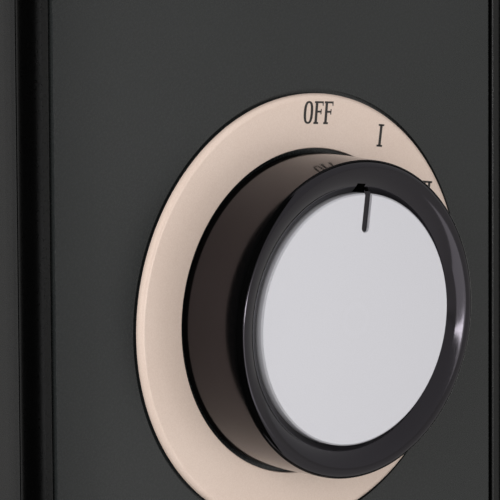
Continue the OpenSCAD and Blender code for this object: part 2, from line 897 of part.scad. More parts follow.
module tilt_switch_case() {
    cheek = 2;
    color(nylon_white) translate([bay_x, tilt_y, tilt_z]) difference() {
        union() {
            translate([0, -tilt_w / 2, -tilt_h / 2]) cube([tilt_deep, tilt_w, tilt_h]);
            translate([0, -6, -tilt_h / 2 - 8]) cube([3, 12, tilt_h + 16]);
        }
        translate([cheek, -tilt_w / 2 + cheek, -tilt_h / 2 - 1])
            cube([tilt_deep - 2 * cheek, tilt_w - 2 * cheek, tilt_h - 4 + 1]);
        translate([1, 0, tilt_pivot_z - tilt_z]) rotate([0, 90, 0])
            cylinder(h = tilt_deep, r = tilt_pin_r + 0.02);
        for (s = [-1, 1]) translate([-1, 0, s * (tilt_h / 2 + 4)]) rotate([0, 90, 0])
            cylinder(h = 6, r = bay_screw_r + screw_clear);
    }
}

module tilt_switch_pin() {
    color(zinc) translate([bay_x + 1.2, tilt_y, tilt_pivot_z]) rotate([0, 90, 0])
        cylinder(h = tilt_deep - 1.6, r = tilt_pin_r);
}

module tilt_pendulum() {
    swing_l = 20;
    color(zinc) translate([bay_x + tilt_deep / 2, tilt_y, tilt_pivot_z]) rotate([0, 90, 0]) difference() {
        union() {
            cylinder(h = 8, r = 3.2, center = true);
            translate([0, -1.5, -3]) cube([swing_l, 3, 6]);
            translate([swing_l, 0, 0]) cylinder(h = 14, r = 6, center = true);
        }
        cylinder(h = 20, r = tilt_pin_r + shaft_clear, center = true);
    }
}

// Three-way terminal block, and the clamp screws in its ways

module terminal_block() {
    color(nylon_white) translate([bay_x, block_y, block_z]) difference() {
        union() {
            translate([0, -block_w / 2, -block_h / 2]) cube([block_deep - 5, block_w, block_h]);
            for (z = block_ways) translate([0, -block_w / 2, z - 4]) cube([block_deep, block_w, 8]);
        }
        for (z = block_ways) {
            translate([block_wire_x - bay_x, -block_w, z]) rotate([-90, 0, 0])
                cylinder(h = 2 * block_w, r = lead_r + 0.2);
            for (s = [-1, 1]) translate([block_wire_x - bay_x, s * 4, z]) rotate([0, 90, 0])
                cylinder(h = block_deep, r = 1.75);
        }
        for (s = [-1, 1]) translate([-1, 0, s * (block_h / 2 - 4)]) rotate([0, 90, 0])
            cylinder(h = block_deep + 2, r = bay_screw_r + screw_clear);
    }
}

module terminal_screws() {
    color(brass) for (z = block_ways, s = [-1, 1])
        translate([block_wire_x + lead_r + 0.1, block_y + s * 4, block_z + z]) rotate([0, 90, 0])
            difference() {
                cylinder(h = 6, r = 1.7);
                translate([-2, -0.3, 5.2]) cube([4, 0.6, 2]);
            }
}

// Bush in the rear panel where the supply cord enters
module cord_inlet() {
    color(rubber_black) translate([inlet_x, half_d, inlet_z]) rotate([-90, 0, 0]) difference() {
        union() {
            cylinder(h = 3, r = inlet_r + 5);
            translate([0, 0, -sheet_t - 2.5]) cylinder(h = 2.5, r = inlet_r + 4.5);
            translate([0, 0, -sheet_t - 1]) cylinder(h = sheet_t + 2, r = inlet_r + 3);
        }
        translate([0, 0, -8]) cylinder(h = 16, r = inlet_r);
    }
}

// Fasteners of the panels

module rear_panel_screws() {
    color(zinc) for (s = [-1, 1], z = rear_screw_z)
        translate([s * rear_screw_x, half_d, z]) rotate([-90, 0, 0]) screw(9, panel_screw_r, 3.8, 2.2);
}

module front_panel_screws() {
    color(zinc) for (s = [-1, 1])
        translate([s * rear_screw_x, -front_screw_y, z_bottom]) rotate([180, 0, 0])
            screw(9, panel_screw_r, 3.4, 1.8);
}

module rating_label() {
    color(satin_silver) translate([-half_w + label_x, half_d, z_bottom + label_rise])
        cube([label_w, label_t, label_h]);
}

// Feet

module foot_2d() {
    tip = foot_d / 2;
    shoulder = foot_top_half;
    polygon(concat(
        [[-shoulder, z_bottom], [shoulder, z_bottom]],
        [[shoulder + 6, z_bottom - 12], [shoulder + 20, z_bottom - 22]],
        arc([tip - 7, pad_h + 7], 7, 70, 0),
        [[tip, pad_h + 3], [tip - 3, pad_h], [-tip + 3, pad_h], [-tip, pad_h + 3]],
        arc([-tip + 7, pad_h + 7], 7, 180, 110),
        [[-shoulder - 20, z_bottom - 22], [-shoulder - 6, z_bottom - 12]]));
}

module foot() {
    difference() {
        along_x(foot_x - foot_w / 2, foot_w) foot_2d();
        for (s = [-1, 1]) translate([foot_boss_x, s * foot_screw_y, 0]) {
            cylinder(h = z_bottom + 1, r = panel_screw_r + 0.2);
            cylinder(h = z_bottom - foot_skin, r = foot_pocket_r);
        }
        translate([rear_screw_x, -front_screw_y, z_bottom - 2.2]) cylinder(h = 4, r = 4);
        pad_places() cylinder(h = pad_h + 4.2, r = 2.55);
    }
}

module pad_places() {
    for (s = [-1, 1]) translate([foot_x, s * (foot_d / 2 - 14), 0]) children();
}

module right_foot() {
    color(cap_black) foot();
}

module left_foot() {
    color(cap_black) mirror([1, 0, 0]) foot();
}

module foot_pads() {
    color(rubber_black) for (m = [0, 1]) mirror([m, 0, 0]) pad_places() {
        cylinder(h = pad_h, r = pad_r);
        cylinder(h = pad_h + 4, r = 2.5);
    }
}

module foot_screws() {
    color(zinc) for (m = [0, 1], s = [-1, 1]) mirror([m, 0, 0])
        translate([foot_boss_x, s * foot_screw_y, z_bottom - foot_skin]) rotate([180, 0, 0])
            screw(foot_skin + 11, panel_screw_r, 3.8, 2.2);
}

// Leads: insulated wire with mitred bends, swept along its route

function unit(v) = v / norm(v);

// Points of a ring slid along a run until they meet the plane at its far end
function slid(ring, along, at, normal) =
    [for (p = ring) p + along * ((at - p) * normal) / (along * normal)];

// Rings of a lead, one at each point of its route
function lead_rings(points, ring, i = 1) =
    i == len(points) ? [ring] :
    let (along = unit(points[i] - points[i - 1]),
        ahead = i == len(points) - 1 ? along : unit(points[i + 1] - points[i]))
    concat([ring], lead_rings(points, slid(ring, along, points[i], along + ahead), i + 1));

module lead(points, r) {
    along = unit(points[1] - points[0]);
    side = unit(cross(along, abs(along[2]) < 0.9 ? [0, 0, 1] : [1, 0, 0]));
    rise = cross(along, side);
    first = [for (i = [0:lead_sides - 1]) let (a = 360 * i / lead_sides)
        points[0] + r * (cos(a) * side + sin(a) * rise)];
    rings = lead_rings(points, first);
    n = lead_sides;
    last = (len(rings) - 1) * n;
    polyhedron([for (ring = rings, p = ring) p], concat(
        [[for (i = [0:n - 1]) i]],
        [for (k = [0:len(rings) - 2], i = [0:n - 1])
            [k * n + i, (k + 1) * n + i, (k + 1) * n + (i + 1) % n, k * n + (i + 1) % n]],
        [[for (i = [n - 1:-1:0]) last + i]]), convexity = 6);
}

module wiring_leads() {
    pin_x = right_bracket_x + bracket_t + bush_tail + pin_l;
    far_x = left_bracket_x - bracket_t - bush_tail - pin_l;
    tab_x = half_w - tray_depth - switch_deep - tab_l;
    rear_y = block_y + 16;
    rear_way_y = block_y + 3;
    front_way_y = block_y - 3;
    floor_z = z_bottom + sheet_t + grille_t + lead_r;
    step_x = -half_w + flange_l + 2;
    step_z = z_bottom + sheet_t + flange_t + lead_r;
    lamp_x = half_w - tray_depth - 14 - 6;
    color(lead_red) {
        // From the block's top way to the selector
        lead([[block_wire_x, rear_way_y, block_z + block_way], [block_wire_x, rear_y, block_z + block_way],
            [block_wire_x, rear_y, selector_z - 10], [tab_x - 2, dial_offset + 9, selector_z - 10],
            [tab_x, dial_offset + 9, selector_z - 10]], lead_r);
        // From the selector to the thermostat
        lead([[tab_x, dial_offset - 9, selector_z - 10], [tab_x - 6, dial_offset - 9, selector_z - 10],
            [tab_x - 6, dial_offset, thermostat_z + 9], [tab_x, dial_offset, thermostat_z + 9]], lead_r);
        // From the thermostat to the block's bottom way
        lead([[tab_x, dial_offset, thermostat_z - 9], [tab_x - 6, dial_offset, thermostat_z - 9],
            [tab_x - 6, dial_offset, block_z - block_way], [block_wire_x, dial_offset, block_z - block_way],
            [block_wire_x, front_way_y, block_z - block_way]], lead_r);
        // From the near ends of the two rods to the selector
        for (s = [-1, 1]) lead([[pin_x, s * element_y, element_z], [pin_x + 8, s * element_y, element_z],
            [pin_x + 8, s * element_y, selector_z + 10], [tab_x - 4, dial_offset + s * 9, selector_z + 10],
            [tab_x, dial_offset + s * 9, selector_z + 10]], lead_r);
        // Link between the far ends of the rods
        lead([[far_x, -element_y, element_z], [far_x - 5, -element_y, element_z],
            [far_x - 5, element_y, element_z], [far_x, element_y, element_z]], lead_r);
        // From the link down, over the cap's flange and along the inlet grille to the middle way
        lead([[far_x - 5, 0, element_z - lead_r], [far_x - 5, 0, step_z], [step_x, 0, step_z],
            [step_x + 3, 0, floor_z], [block_wire_x, 0, floor_z],
            [block_wire_x, 0, block_z], [block_wire_x, front_way_y, block_z]], lead_r);
        // From the pilot lamp to the thermostat and to the block
        lead([[lamp_x, dial_offset, lamp_z + 2.4], [lamp_x - 6, dial_offset, lamp_z + 2.4],
            [lamp_x - 6, dial_offset, thermostat_z - 9 - 3.15]], lead_r);
        lead([[lamp_x, dial_offset, lamp_z - 2.4], [lamp_x - 6, dial_offset, lamp_z - 2.4],
            [lamp_x - 6, rear_y, lamp_z - 2.4], [block_wire_x, rear_y, block_z],
            [block_wire_x, rear_way_y, block_z]], lead_r);
    }
}

// Moves a piece from the housing's own middle to its place about the origin
module placed() {
    translate([housing_x, 0, 0]) children();
}

placed() front_panel();
placed() rear_panel();
placed() top_outlet_grille();
placed() bottom_inlet_grille();
placed() left_end_cap();
placed() right_end_cap();
placed() control_fascia();
placed() selector_bezel();
placed() selector_knob();
placed() selector_knob_disc();
placed() selector_knob_clip();
placed() selector_shaft();
placed() selector_switch();
placed() thermostat_bezel();
placed() thermostat_knob();
placed() thermostat_knob_disc();
placed() thermostat_knob_clip();
placed() thermostat_shaft();
placed() thermostat_body();
placed() control_terminals();
placed() control_screws();
placed() fascia_screws();
placed() pilot_lamp_lens();
placed() pilot_lamp_body();
placed() front_heating_fins();
placed() rear_heating_fins();
placed() heating_rods();
placed() ceramic_bushes();
placed() left_element_bracket();
placed() right_element_bracket();
placed() bracket_screws();
placed() front_heat_shield();
placed() rear_heat_shield();
placed() shield_rivets();
placed() thermal_cutout();
placed() tilt_switch_case();
placed() tilt_switch_pin();
placed() tilt_pendulum();
placed() terminal_block();
placed() terminal_screws();
placed() bay_screws();
placed() wiring_leads();
placed() cord_inlet();
placed() rear_panel_screws();
placed() front_panel_screws();
placed() left_foot();
placed() right_foot();
placed() foot_pads();
placed() foot_screws();
placed() rating_label();
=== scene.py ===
# Convector heater: the looks of the housing, its dials and what shows through its slots
import math

import bmesh
import bpy
from mathutils import Matrix, Vector


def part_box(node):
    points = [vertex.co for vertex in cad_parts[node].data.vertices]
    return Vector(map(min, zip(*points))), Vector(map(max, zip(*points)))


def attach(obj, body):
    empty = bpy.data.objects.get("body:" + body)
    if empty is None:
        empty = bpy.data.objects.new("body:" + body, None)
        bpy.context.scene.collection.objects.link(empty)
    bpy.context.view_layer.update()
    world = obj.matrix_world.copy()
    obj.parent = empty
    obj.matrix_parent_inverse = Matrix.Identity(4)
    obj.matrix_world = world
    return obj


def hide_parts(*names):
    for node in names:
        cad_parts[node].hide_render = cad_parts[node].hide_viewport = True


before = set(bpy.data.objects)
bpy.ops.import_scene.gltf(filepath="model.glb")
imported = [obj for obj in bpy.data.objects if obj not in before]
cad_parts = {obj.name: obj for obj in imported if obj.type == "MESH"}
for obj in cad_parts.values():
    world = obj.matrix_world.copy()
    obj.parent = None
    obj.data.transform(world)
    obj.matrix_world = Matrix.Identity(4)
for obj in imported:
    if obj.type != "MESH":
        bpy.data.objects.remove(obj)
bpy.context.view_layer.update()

mm = 0.001
fullTurn = 2 * math.pi
meshLimits = {
    "weld": 0.001 * mm,      # points closer than this become one
    "flatWithin": 0.6,       # degrees: faces flatter than this become one
    "onPlane": 0.02 * mm,    # an edge this close to a plane lies in it
    "sharpOver": 50.0,       # degrees: edges sharper than this are softened
}
print("stage: frame loaded,", len(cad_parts), "nodes")


# Small steps that every piece uses

def clearSelection():
    if bpy.context.object and bpy.context.object.mode != "OBJECT":
        bpy.ops.object.mode_set(mode="OBJECT")
    bpy.ops.object.select_all(action="DESELECT")


def focus(obj):
    clearSelection()
    obj.select_set(True)
    bpy.context.view_layer.objects.active = obj


def startEdit(obj, kind="VERT"):
    focus(obj)
    bpy.ops.object.mode_set(mode="EDIT")
    bpy.ops.mesh.select_mode(type=kind)
    bpy.ops.mesh.select_all(action="DESELECT")


def endEdit():
    bpy.ops.object.mode_set(mode="OBJECT")


def pickEdges(obj, test):
    # test gets the two ends of an edge, in metres
    shape = bmesh.from_edit_mesh(obj.data)
    for edge in shape.edges:
        ends = [vert.co for vert in edge.verts]
        if test(ends[0], ends[1]):
            edge.select_set(True)
    bmesh.update_edit_mesh(obj.data)


def pickFaces(obj, test):
    # test gets a face's middle and its normal
    shape = bmesh.from_edit_mesh(obj.data)
    for face in shape.faces:
        if test(face.calc_center_median(), face.normal):
            face.select_set(True)
    bmesh.update_edit_mesh(obj.data)


def alongX(a, b):
    # an edge that runs along X through the piece's thickness
    return abs(a.x - b.x) > 1 * mm


def acrossX(a, b):
    # an edge round one of the piece's end faces
    return abs(a.x - b.x) < 0.01 * mm


def onPlaneX(a, b, x):
    # an edge that lies in the plane at x, in metres
    return max(abs(a.x - x), abs(b.x - x)) < meshLimits["onPlane"]


def settle(obj, name):
    # the place goes into the mesh and the origin stays at the frame's own
    focus(obj)
    bpy.ops.object.transform_apply(location=True, rotation=True, scale=True)
    obj.name = name
    obj.data.name = name
    return obj


def smooth(obj, degrees=30):
    # large flat faces keep even shading beside their rounded edges
    focus(obj)
    bpy.ops.object.shade_smooth_by_angle(angle=math.radians(degrees))
    applyModifier(obj, "WEIGHTED_NORMAL", keep_sharp=True)


def applyModifier(obj, kind, **settings):
    focus(obj)
    modifier = obj.modifiers.new(kind.title(), kind)
    for name, value in settings.items():
        setattr(modifier, name, value)
    bpy.ops.object.modifier_apply(modifier=modifier.name)


def cutAway(obj, cutter):
    applyModifier(obj, "BOOLEAN", operation="DIFFERENCE", solver="EXACT", object=cutter)
    bpy.data.objects.remove(cutter)


def keepWithin(obj, form):
    applyModifier(obj, "BOOLEAN", operation="INTERSECT", solver="EXACT", object=form)
    bpy.data.objects.remove(form)


def joined(pieces, name):
    clearSelection()
    for piece in pieces:
        piece.select_set(True)
    bpy.context.view_layer.objects.active = pieces[0]
    bpy.ops.object.join()
    return settle(pieces[0], name)


def finishPiece(piece, material, body, slotName, *nodes):
    piece.data.materials.clear()
    piece.data.materials.append(material)
    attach(piece, body)
    if nodes:
        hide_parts(*nodes)
    return piece


def arcPoints(centre, radius, fromDeg, toDeg, count):
    # points as (height above the fascia, radius), the angle counted from outwards to upwards
    points = []
    for i in range(count + 1):
        angle = math.radians(fromDeg + (toDeg - fromDeg) * i / count)
        points.append((centre[0] + radius * math.sin(angle), centre[1] + radius * math.cos(angle)))
    return points


def startPoint(name, place):
    # a small plane merged into one point, left in edit mode to be pulled along a line
    clearSelection()
    bpy.ops.mesh.primitive_plane_add(size=1 * mm, location=place)
    obj = settle(bpy.context.object, name)
    bpy.ops.object.mode_set(mode="EDIT")
    bpy.ops.mesh.select_mode(type="VERT")
    bpy.ops.mesh.select_all(action="SELECT")
    bpy.ops.mesh.merge(type="CENTER")
    return obj


def turned(name, profile, steps):
    # a point is pulled along the profile, which is then spun about the X axis
    corners = [Vector((height * mm, 0, radius * mm)) for height, radius in profile]
    obj = startPoint(name, corners[0])
    for here, ahead in zip(corners, corners[1:]):
        bpy.ops.mesh.extrude_region_move(TRANSFORM_OT_translate={"value": ahead - here})
    bpy.ops.mesh.select_all(action="SELECT")
    bpy.ops.mesh.spin(steps=steps, angle=fullTurn, center=(0, 0, 0), axis=(1, 0, 0))
    bpy.ops.mesh.select_all(action="SELECT")
    bpy.ops.mesh.remove_doubles(threshold=meshLimits["weld"])
    bpy.ops.mesh.normals_make_consistent(inside=False)
    endEdit()
    return obj


def block(name, low, high):
    middle = [(a + b) / 2 * mm for a, b in zip(low, high)]
    side = [(b - a) * mm for a, b in zip(low, high)]
    clearSelection()
    bpy.ops.mesh.primitive_cube_add(size=1, location=middle, scale=side)
    return settle(bpy.context.object, name)


def rod(name, start, length, radius, steps):
    # a round bar along X
    clearSelection()
    middle = [c * mm for c in (start[0] + length / 2, start[1], start[2])]
    bpy.ops.mesh.primitive_cylinder_add(vertices=steps, radius=radius * mm, depth=length * mm,
                                        location=middle, rotation=(0, math.pi / 2, 0))
    return settle(bpy.context.object, name)


def placedCopy(source, name, centre, clockwiseDeg):
    # a dial part is modelled upright about the origin, and each dial gets its own mesh
    piece = bpy.data.objects.new(name, source.data.copy())
    piece.data.name = name
    bpy.context.scene.collection.objects.link(piece)
    turn = Matrix.Rotation(math.radians(-clockwiseDeg), 4, "X")
    piece.data.transform(Matrix.Translation([c * mm for c in centre]) @ turn)
    return piece


def mergedCopy(node, name):
    # a CAD node's triangles joined into whole faces, ready for rounded edges
    piece = bpy.data.objects.new(name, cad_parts[node].data.copy())
    piece.data.name = name
    bpy.context.scene.collection.objects.link(piece)
    focus(piece)
    bpy.ops.mesh.customdata_custom_splitnormals_clear()
    startEdit(piece)
    bpy.ops.mesh.select_all(action="SELECT")
    bpy.ops.mesh.remove_doubles(threshold=meshLimits["weld"])
    bpy.ops.mesh.dissolve_limited(angle_limit=math.radians(meshLimits["flatWithin"]))
    endEdit()
    return piece


def roundEdges(piece, width, segments, test):
    startEdit(piece, "EDGE")
    pickEdges(piece, test)
    bpy.ops.mesh.bevel(offset=width * mm, segments=segments, profile=0.5, clamp_overlap=True)
    endEdit()


def softenSharp(piece, width):
    applyModifier(piece, "BEVEL", width=width * mm, segments=2, limit_method="ANGLE",
                  angle_limit=math.radians(meshLimits["sharpOver"]), use_clamp_overlap=True)


# Materials

usualSettings = {
    "TexNoise": {"Roughness": 0.55},
    "MapRange": {"From Min": 0.3, "From Max": 0.7},     # most of a noise texture's values lie in here
}


def linear(hexText):
    # an sRGB hex colour as the linear values that nodes take
    values = [int(hexText[i:i + 2], 16) / 255 for i in (1, 3, 5)]
    return [v / 12.92 if v <= 0.04045 else ((v + 0.055) / 1.055) ** 2.4 for v in values] + [1]


def perMm(size):
    # a texture's scale for lumps about this many millimetres across
    return 1 / (size * mm)


def addNode(tree, kind, settings=None, links=None):
    # settings go on sockets, properties or a ramp's stops
    # a link comes from a socket, or from a node's first output
    node = tree.nodes.new("ShaderNode" + kind)
    for name, value in {**usualSettings.get(kind, {}), **(settings or {})}.items():
        if name == "stops":
            for element, (position, colour) in zip(node.color_ramp.elements, value.items()):
                element.position = position
                element.color = linear(colour)
        elif isinstance(name, int) or name in node.inputs:
            node.inputs[name].default_value = value
        else:
            setattr(node, name, value)
    for name, source in (links or {}).items():
        output = source.outputs[0] if isinstance(source, bpy.types.Node) else source
        tree.links.new(output, node.inputs[name])
    return node


def newMaterial(name):
    # every pattern reads the piece's own coordinates
    material = bpy.data.materials.new(name)
    material.use_nodes = True
    tree = material.node_tree
    tree.nodes.clear()
    return material, tree, addNode(tree, "TexCoord").outputs["Object"]


def finishMaterial(material, settings, colour, roughness=None, bumps=()):
    # colour: a pattern and its stops. roughness: a pattern and the values it runs between
    # bumps: patterns with their depths in millimetres and strengths, the lowest layer first
    tree = material.node_tree
    pattern, stops = colour
    links = {"Base Color": addNode(tree, "ValToRGB", {"stops": stops}, {"Fac": pattern})}
    if roughness:
        pattern, low, high = roughness
        links["Roughness"] = addNode(tree, "MapRange", {"To Min": low, "To Max": high}, {"Value": pattern})
    for pattern, depth, strength in bumps:
        under = {"Normal": links["Normal"]} if "Normal" in links else {}
        links["Normal"] = addNode(tree, "Bump", {"Strength": strength, "Distance": depth * mm},
                                  {"Height": pattern, **under})
    shader = addNode(tree, "BsdfPrincipled", settings, links)
    addNode(tree, "OutputMaterial", links={"Surface": shader})
    return material


def powderCoat():
    # Polyester powder coat on steel: sprayed dry and baked, so it flows into a faint orange peel
    material, tree, place = newMaterial("powderCoat")
    cloud = addNode(tree, "TexNoise", {"Scale": perMm(60), "Detail": 2}, {"Vector": place})
    peel = addNode(tree, "TexNoise", {"Scale": perMm(1.4), "Detail": 2}, {"Vector": place})
    grain = addNode(tree, "TexNoise", {"Scale": perMm(0.28), "Detail": 2}, {"Vector": place})
    return finishMaterial(material, {"IOR": 1.6, "Specular IOR Level": 0.39},
                          (cloud, {0.3: "#09090a", 0.7: "#0c0c0d"}), (grain, 0.24, 0.3),
                          [(peel, 0.012, 0.6), (grain, 0.004, 0.5)])


def capPlastic():
    # Polypropylene end caps, injection moulded in a spark-eroded tool: a fine dull grain
    material, tree, place = newMaterial("capPlastic")
    cloud = addNode(tree, "TexNoise", {"Scale": perMm(45), "Detail": 2}, {"Vector": place})
    grain = addNode(tree, "TexNoise", {"Scale": perMm(0.35), "Detail": 3}, {"Vector": place})
    return finishMaterial(material, {"IOR": 1.49, "Specular IOR Level": 0.35},
                          (cloud, {0.3: "#020202", 0.7: "#040404"}), (grain, 0.26, 0.34),
                          [(grain, 0.006, 0.5)])


def fasciaPlastic():
    # ABS fascia, painted satin dark grey: smooth, with a soft broad sheen and barely any grain
    material, tree, place = newMaterial("fasciaPlastic")
    cloud = addNode(tree, "TexNoise", {"Scale": perMm(30), "Detail": 2}, {"Vector": place})
    grain = addNode(tree, "TexNoise", {"Scale": perMm(0.22), "Detail": 2}, {"Vector": place})
    return finishMaterial(material, {"IOR": 1.53, "Specular IOR Level": 0.39},
                          (cloud, {0.3: "#1f2121", 0.7: "#212323"}), (grain, 0.24, 0.3),
                          [(grain, 0.002, 0.4)])


def champagneLacquer():
    # Pearl lacquer on an ABS ring: fine flakes under a satin clear coat give a warm, even glow
    # the real flakes are some 0.04 mm across, too fine to show, so they are drawn at 0.18 mm
    material, tree, place = newMaterial("champagneLacquer")
    cloud = addNode(tree, "TexNoise", {"Scale": perMm(14), "Detail": 2}, {"Vector": place})
    flakes = addNode(tree, "TexNoise", {"Scale": perMm(0.18), "Detail": 2}, {"Vector": place})
    mixed = addNode(tree, "Math", {"operation": "MULTIPLY_ADD", 1: 0.35}, {0: cloud, 2: flakes})
    return finishMaterial(material, {"IOR": 1.5, "Specular IOR Level": 0.39, "Metallic": 0.15,
                                     "Coat Weight": 0.12, "Coat Roughness": 0.25},
                          (mixed, {0.45: "#d9c3b5", 0.9: "#e2cec1"}), (flakes, 0.38, 0.46),
                          [(flakes, 0.002, 0.3)])


def glossyAbs():
    # Polished black ABS knobs: they mirror what is near, with faint handling scuffs
    material, tree, place = newMaterial("glossyAbs")
    cloud = addNode(tree, "TexNoise", {"Scale": perMm(9), "Detail": 2}, {"Vector": place})
    waves = addNode(tree, "TexNoise", {"Scale": perMm(3.5), "Detail": 1}, {"Vector": place})
    drawn = addNode(tree, "Mapping", {"Scale": (1, 1, 5)}, {"Vector": place})
    scuffs = addNode(tree, "TexNoise", {"Scale": perMm(1.1), "Detail": 4, "Roughness": 0.7},
                     {"Vector": drawn})
    return finishMaterial(material, {"IOR": 1.54, "Specular IOR Level": 0.45,
                                     "Specular Tint": linear("#f4ebfa")},
                          (cloud, {0.3: "#030303", 0.7: "#050505"}), (scuffs, 0.07, 0.13),
                          [(waves, 0.002, 0.3)])


def satinAluminium(name, centre):
    # Aluminium disc, turned, bead blasted and anodised: the pitted, coated skin scatters about
    # half of the light, so it is an even silver with a soft fine grain
    # the real pits and turning marks are some 0.05 mm wide, too fine to show, and drawn at 0.16 mm
    material, tree, place = newMaterial(name)
    local = addNode(tree, "Mapping", {"Location": [-c * mm for c in centre]}, {"Vector": place})
    apart = addNode(tree, "VectorMath", {"operation": "LENGTH"}, {0: local}).outputs["Value"]
    rings = addNode(tree, "TexNoise", {"noise_dimensions": "1D", "Scale": perMm(0.16), "Detail": 2,
                                       "Roughness": 0.5}, {"W": apart})
    grain = addNode(tree, "TexNoise", {"Scale": perMm(0.16), "Detail": 2}, {"Vector": place})
    both = addNode(tree, "Math", {"operation": "MULTIPLY_ADD", 1: 0.15}, {0: rings, 2: grain})
    return finishMaterial(material, {"Metallic": 0.5, "Specular IOR Level": 0.39},
                          (both, {0.4: "#cccbd0", 0.85: "#d2d1d7"}), (grain, 0.44, 0.52),
                          [(both, 0.003, 0.35)])


def dialInk():
    # Pad-printed ink: thin, matt and almost black, a little uneven at its edges
    material, tree, place = newMaterial("dialInk")
    film = addNode(tree, "TexNoise", {"Scale": perMm(0.4), "Detail": 3}, {"Vector": place})
    grain = addNode(tree, "TexNoise", {"Scale": perMm(0.2), "Detail": 2}, {"Vector": place})
    return finishMaterial(material, {"IOR": 1.5}, (film, {0.3: "#191512", 0.7: "#251e1c"}),
                          (grain, 0.5, 0.65))


def zincPlate():
    # Bright zinc on steel screws: a cool shine broken by fine passivation clouds
    material, tree, place = newMaterial("zincPlate")
    cloud = addNode(tree, "TexNoise", {"Scale": perMm(1.6), "Detail": 4}, {"Vector": place})
    grain = addNode(tree, "TexNoise", {"Scale": perMm(0.25), "Detail": 2}, {"Vector": place})
    return finishMaterial(material, {"Metallic": 1.0}, (cloud, {0.3: "#aeb2b8", 0.7: "#cdcfd0"}),
                          (cloud, 0.24, 0.38), [(grain, 0.004, 0.4)])


def galvanisedSheet():
    # Hot-dip galvanised sheet: zinc crystals 6 to 10 mm across, each with its own grey
    material, tree, place = newMaterial("galvanisedSheet")
    crystals = addNode(tree, "TexVoronoi", {"Scale": perMm(8)}, {"Vector": place})
    shade = addNode(tree, "SeparateColor", links={"Color": crystals.outputs["Color"]})
    grain = addNode(tree, "TexNoise", {"Scale": perMm(0.5), "Detail": 3}, {"Vector": place})
    return finishMaterial(material, {"Metallic": 1.0}, (shade, {0.0: "#989da2", 1.0: "#c3c7ca"}),
                          (shade, 0.34, 0.5), [(grain, 0.006, 0.4)])


def millAluminium():
    # Extruded and rolled aluminium: die lines run along the length
    # the real lines are finer than 0.1 mm, too fine to show, and drawn at 0.35 mm
    material, tree, place = newMaterial("millAluminium")
    drawn = addNode(tree, "Mapping", {"Scale": (0.01, 1, 1)}, {"Vector": place})
    lines = addNode(tree, "TexNoise", {"Scale": perMm(0.35), "Detail": 3}, {"Vector": drawn})
    return finishMaterial(material, {"Metallic": 1.0}, (lines, {0.3: "#b7b9bc", 0.7: "#d2d3d5"}),
                          (lines, 0.3, 0.42), [(lines, 0.01, 0.5)])


def heatedSteel():
    # Stainless rod sheaths after firing: drawn along the length, with straw and brown heat tints
    material, tree, place = newMaterial("heatedSteel")
    wide = addNode(tree, "Mapping", {"Scale": (1, 0.1, 0.1)}, {"Vector": place})
    bands = addNode(tree, "TexNoise", {"Scale": perMm(22), "Detail": 3}, {"Vector": wide})
    oxide = addNode(tree, "TexNoise", {"Scale": perMm(0.6), "Detail": 3}, {"Vector": place})
    drawn = addNode(tree, "Mapping", {"Scale": (0.02, 1, 1)}, {"Vector": place})
    lines = addNode(tree, "TexNoise", {"Scale": perMm(0.3), "Detail": 2}, {"Vector": drawn})
    return finishMaterial(material, {"Metallic": 1.0}, (bands, {0.3: "#5d5048", 0.7: "#8b8680"}),
                          (oxide, 0.32, 0.48), [(lines, 0.006, 0.4)])


def steatite():
    # Pressed and fired steatite bushes: chalky white with a dry, slightly sandy skin
    material, tree, place = newMaterial("steatite")
    sand = addNode(tree, "TexNoise", {"Scale": perMm(0.3), "Detail": 4}, {"Vector": place})
    return finishMaterial(material, {"IOR": 1.56}, (sand, {0.3: "#ddd8cb", 0.7: "#eeeae0"}),
                          (sand, 0.62, 0.8), [(sand, 0.02, 0.5)])


def phenolicMoulding():
    # Wood-filled phenolic, hot pressed: dark brown with a faint flecked flow pattern
    material, tree, place = newMaterial("phenolicMoulding")
    flow = addNode(tree, "Mapping", {"Scale": (1, 1, 0.4)}, {"Vector": place})
    flecks = addNode(tree, "TexNoise", {"Scale": perMm(0.9), "Detail": 4, "Roughness": 0.65},
                     {"Vector": flow})
    return finishMaterial(material, {"IOR": 1.6}, (flecks, {0.3: "#38241a", 0.7: "#523427"}),
                          (flecks, 0.34, 0.46), [(flecks, 0.004, 0.4)])


def whiteNylon():
    # Nylon mouldings: milky white, with light bleeding a little through the skin
    material, tree, place = newMaterial("whiteNylon")
    cloud = addNode(tree, "TexNoise", {"Scale": perMm(12), "Detail": 2}, {"Vector": place})
    skin = addNode(tree, "TexNoise", {"Scale": perMm(0.5), "Detail": 3}, {"Vector": place})
    return finishMaterial(material, {"IOR": 1.53, "Subsurface Weight": 0.15, "Subsurface Scale": 2 * mm},
                          (cloud, {0.3: "#e0dfd8", 0.7: "#e9e8e2"}), (skin, 0.38, 0.5),
                          [(skin, 0.004, 0.4)])


def stampedBrass():
    # Brass terminals, stamped from rolled strip: rolling lines and a slightly tarnished tone
    material, tree, place = newMaterial("stampedBrass")
    tarnish = addNode(tree, "TexNoise", {"Scale": perMm(2.5), "Detail": 4}, {"Vector": place})
    rolled = addNode(tree, "Mapping", {"Scale": (0.05, 1, 1)}, {"Vector": place})
    lines = addNode(tree, "TexNoise", {"Scale": perMm(0.2), "Detail": 2}, {"Vector": rolled})
    return finishMaterial(material, {"Metallic": 1.0}, (tarnish, {0.3: "#b8954c", 0.7: "#d6b469"}),
                          (tarnish, 0.24, 0.4), [(lines, 0.004, 0.4)])


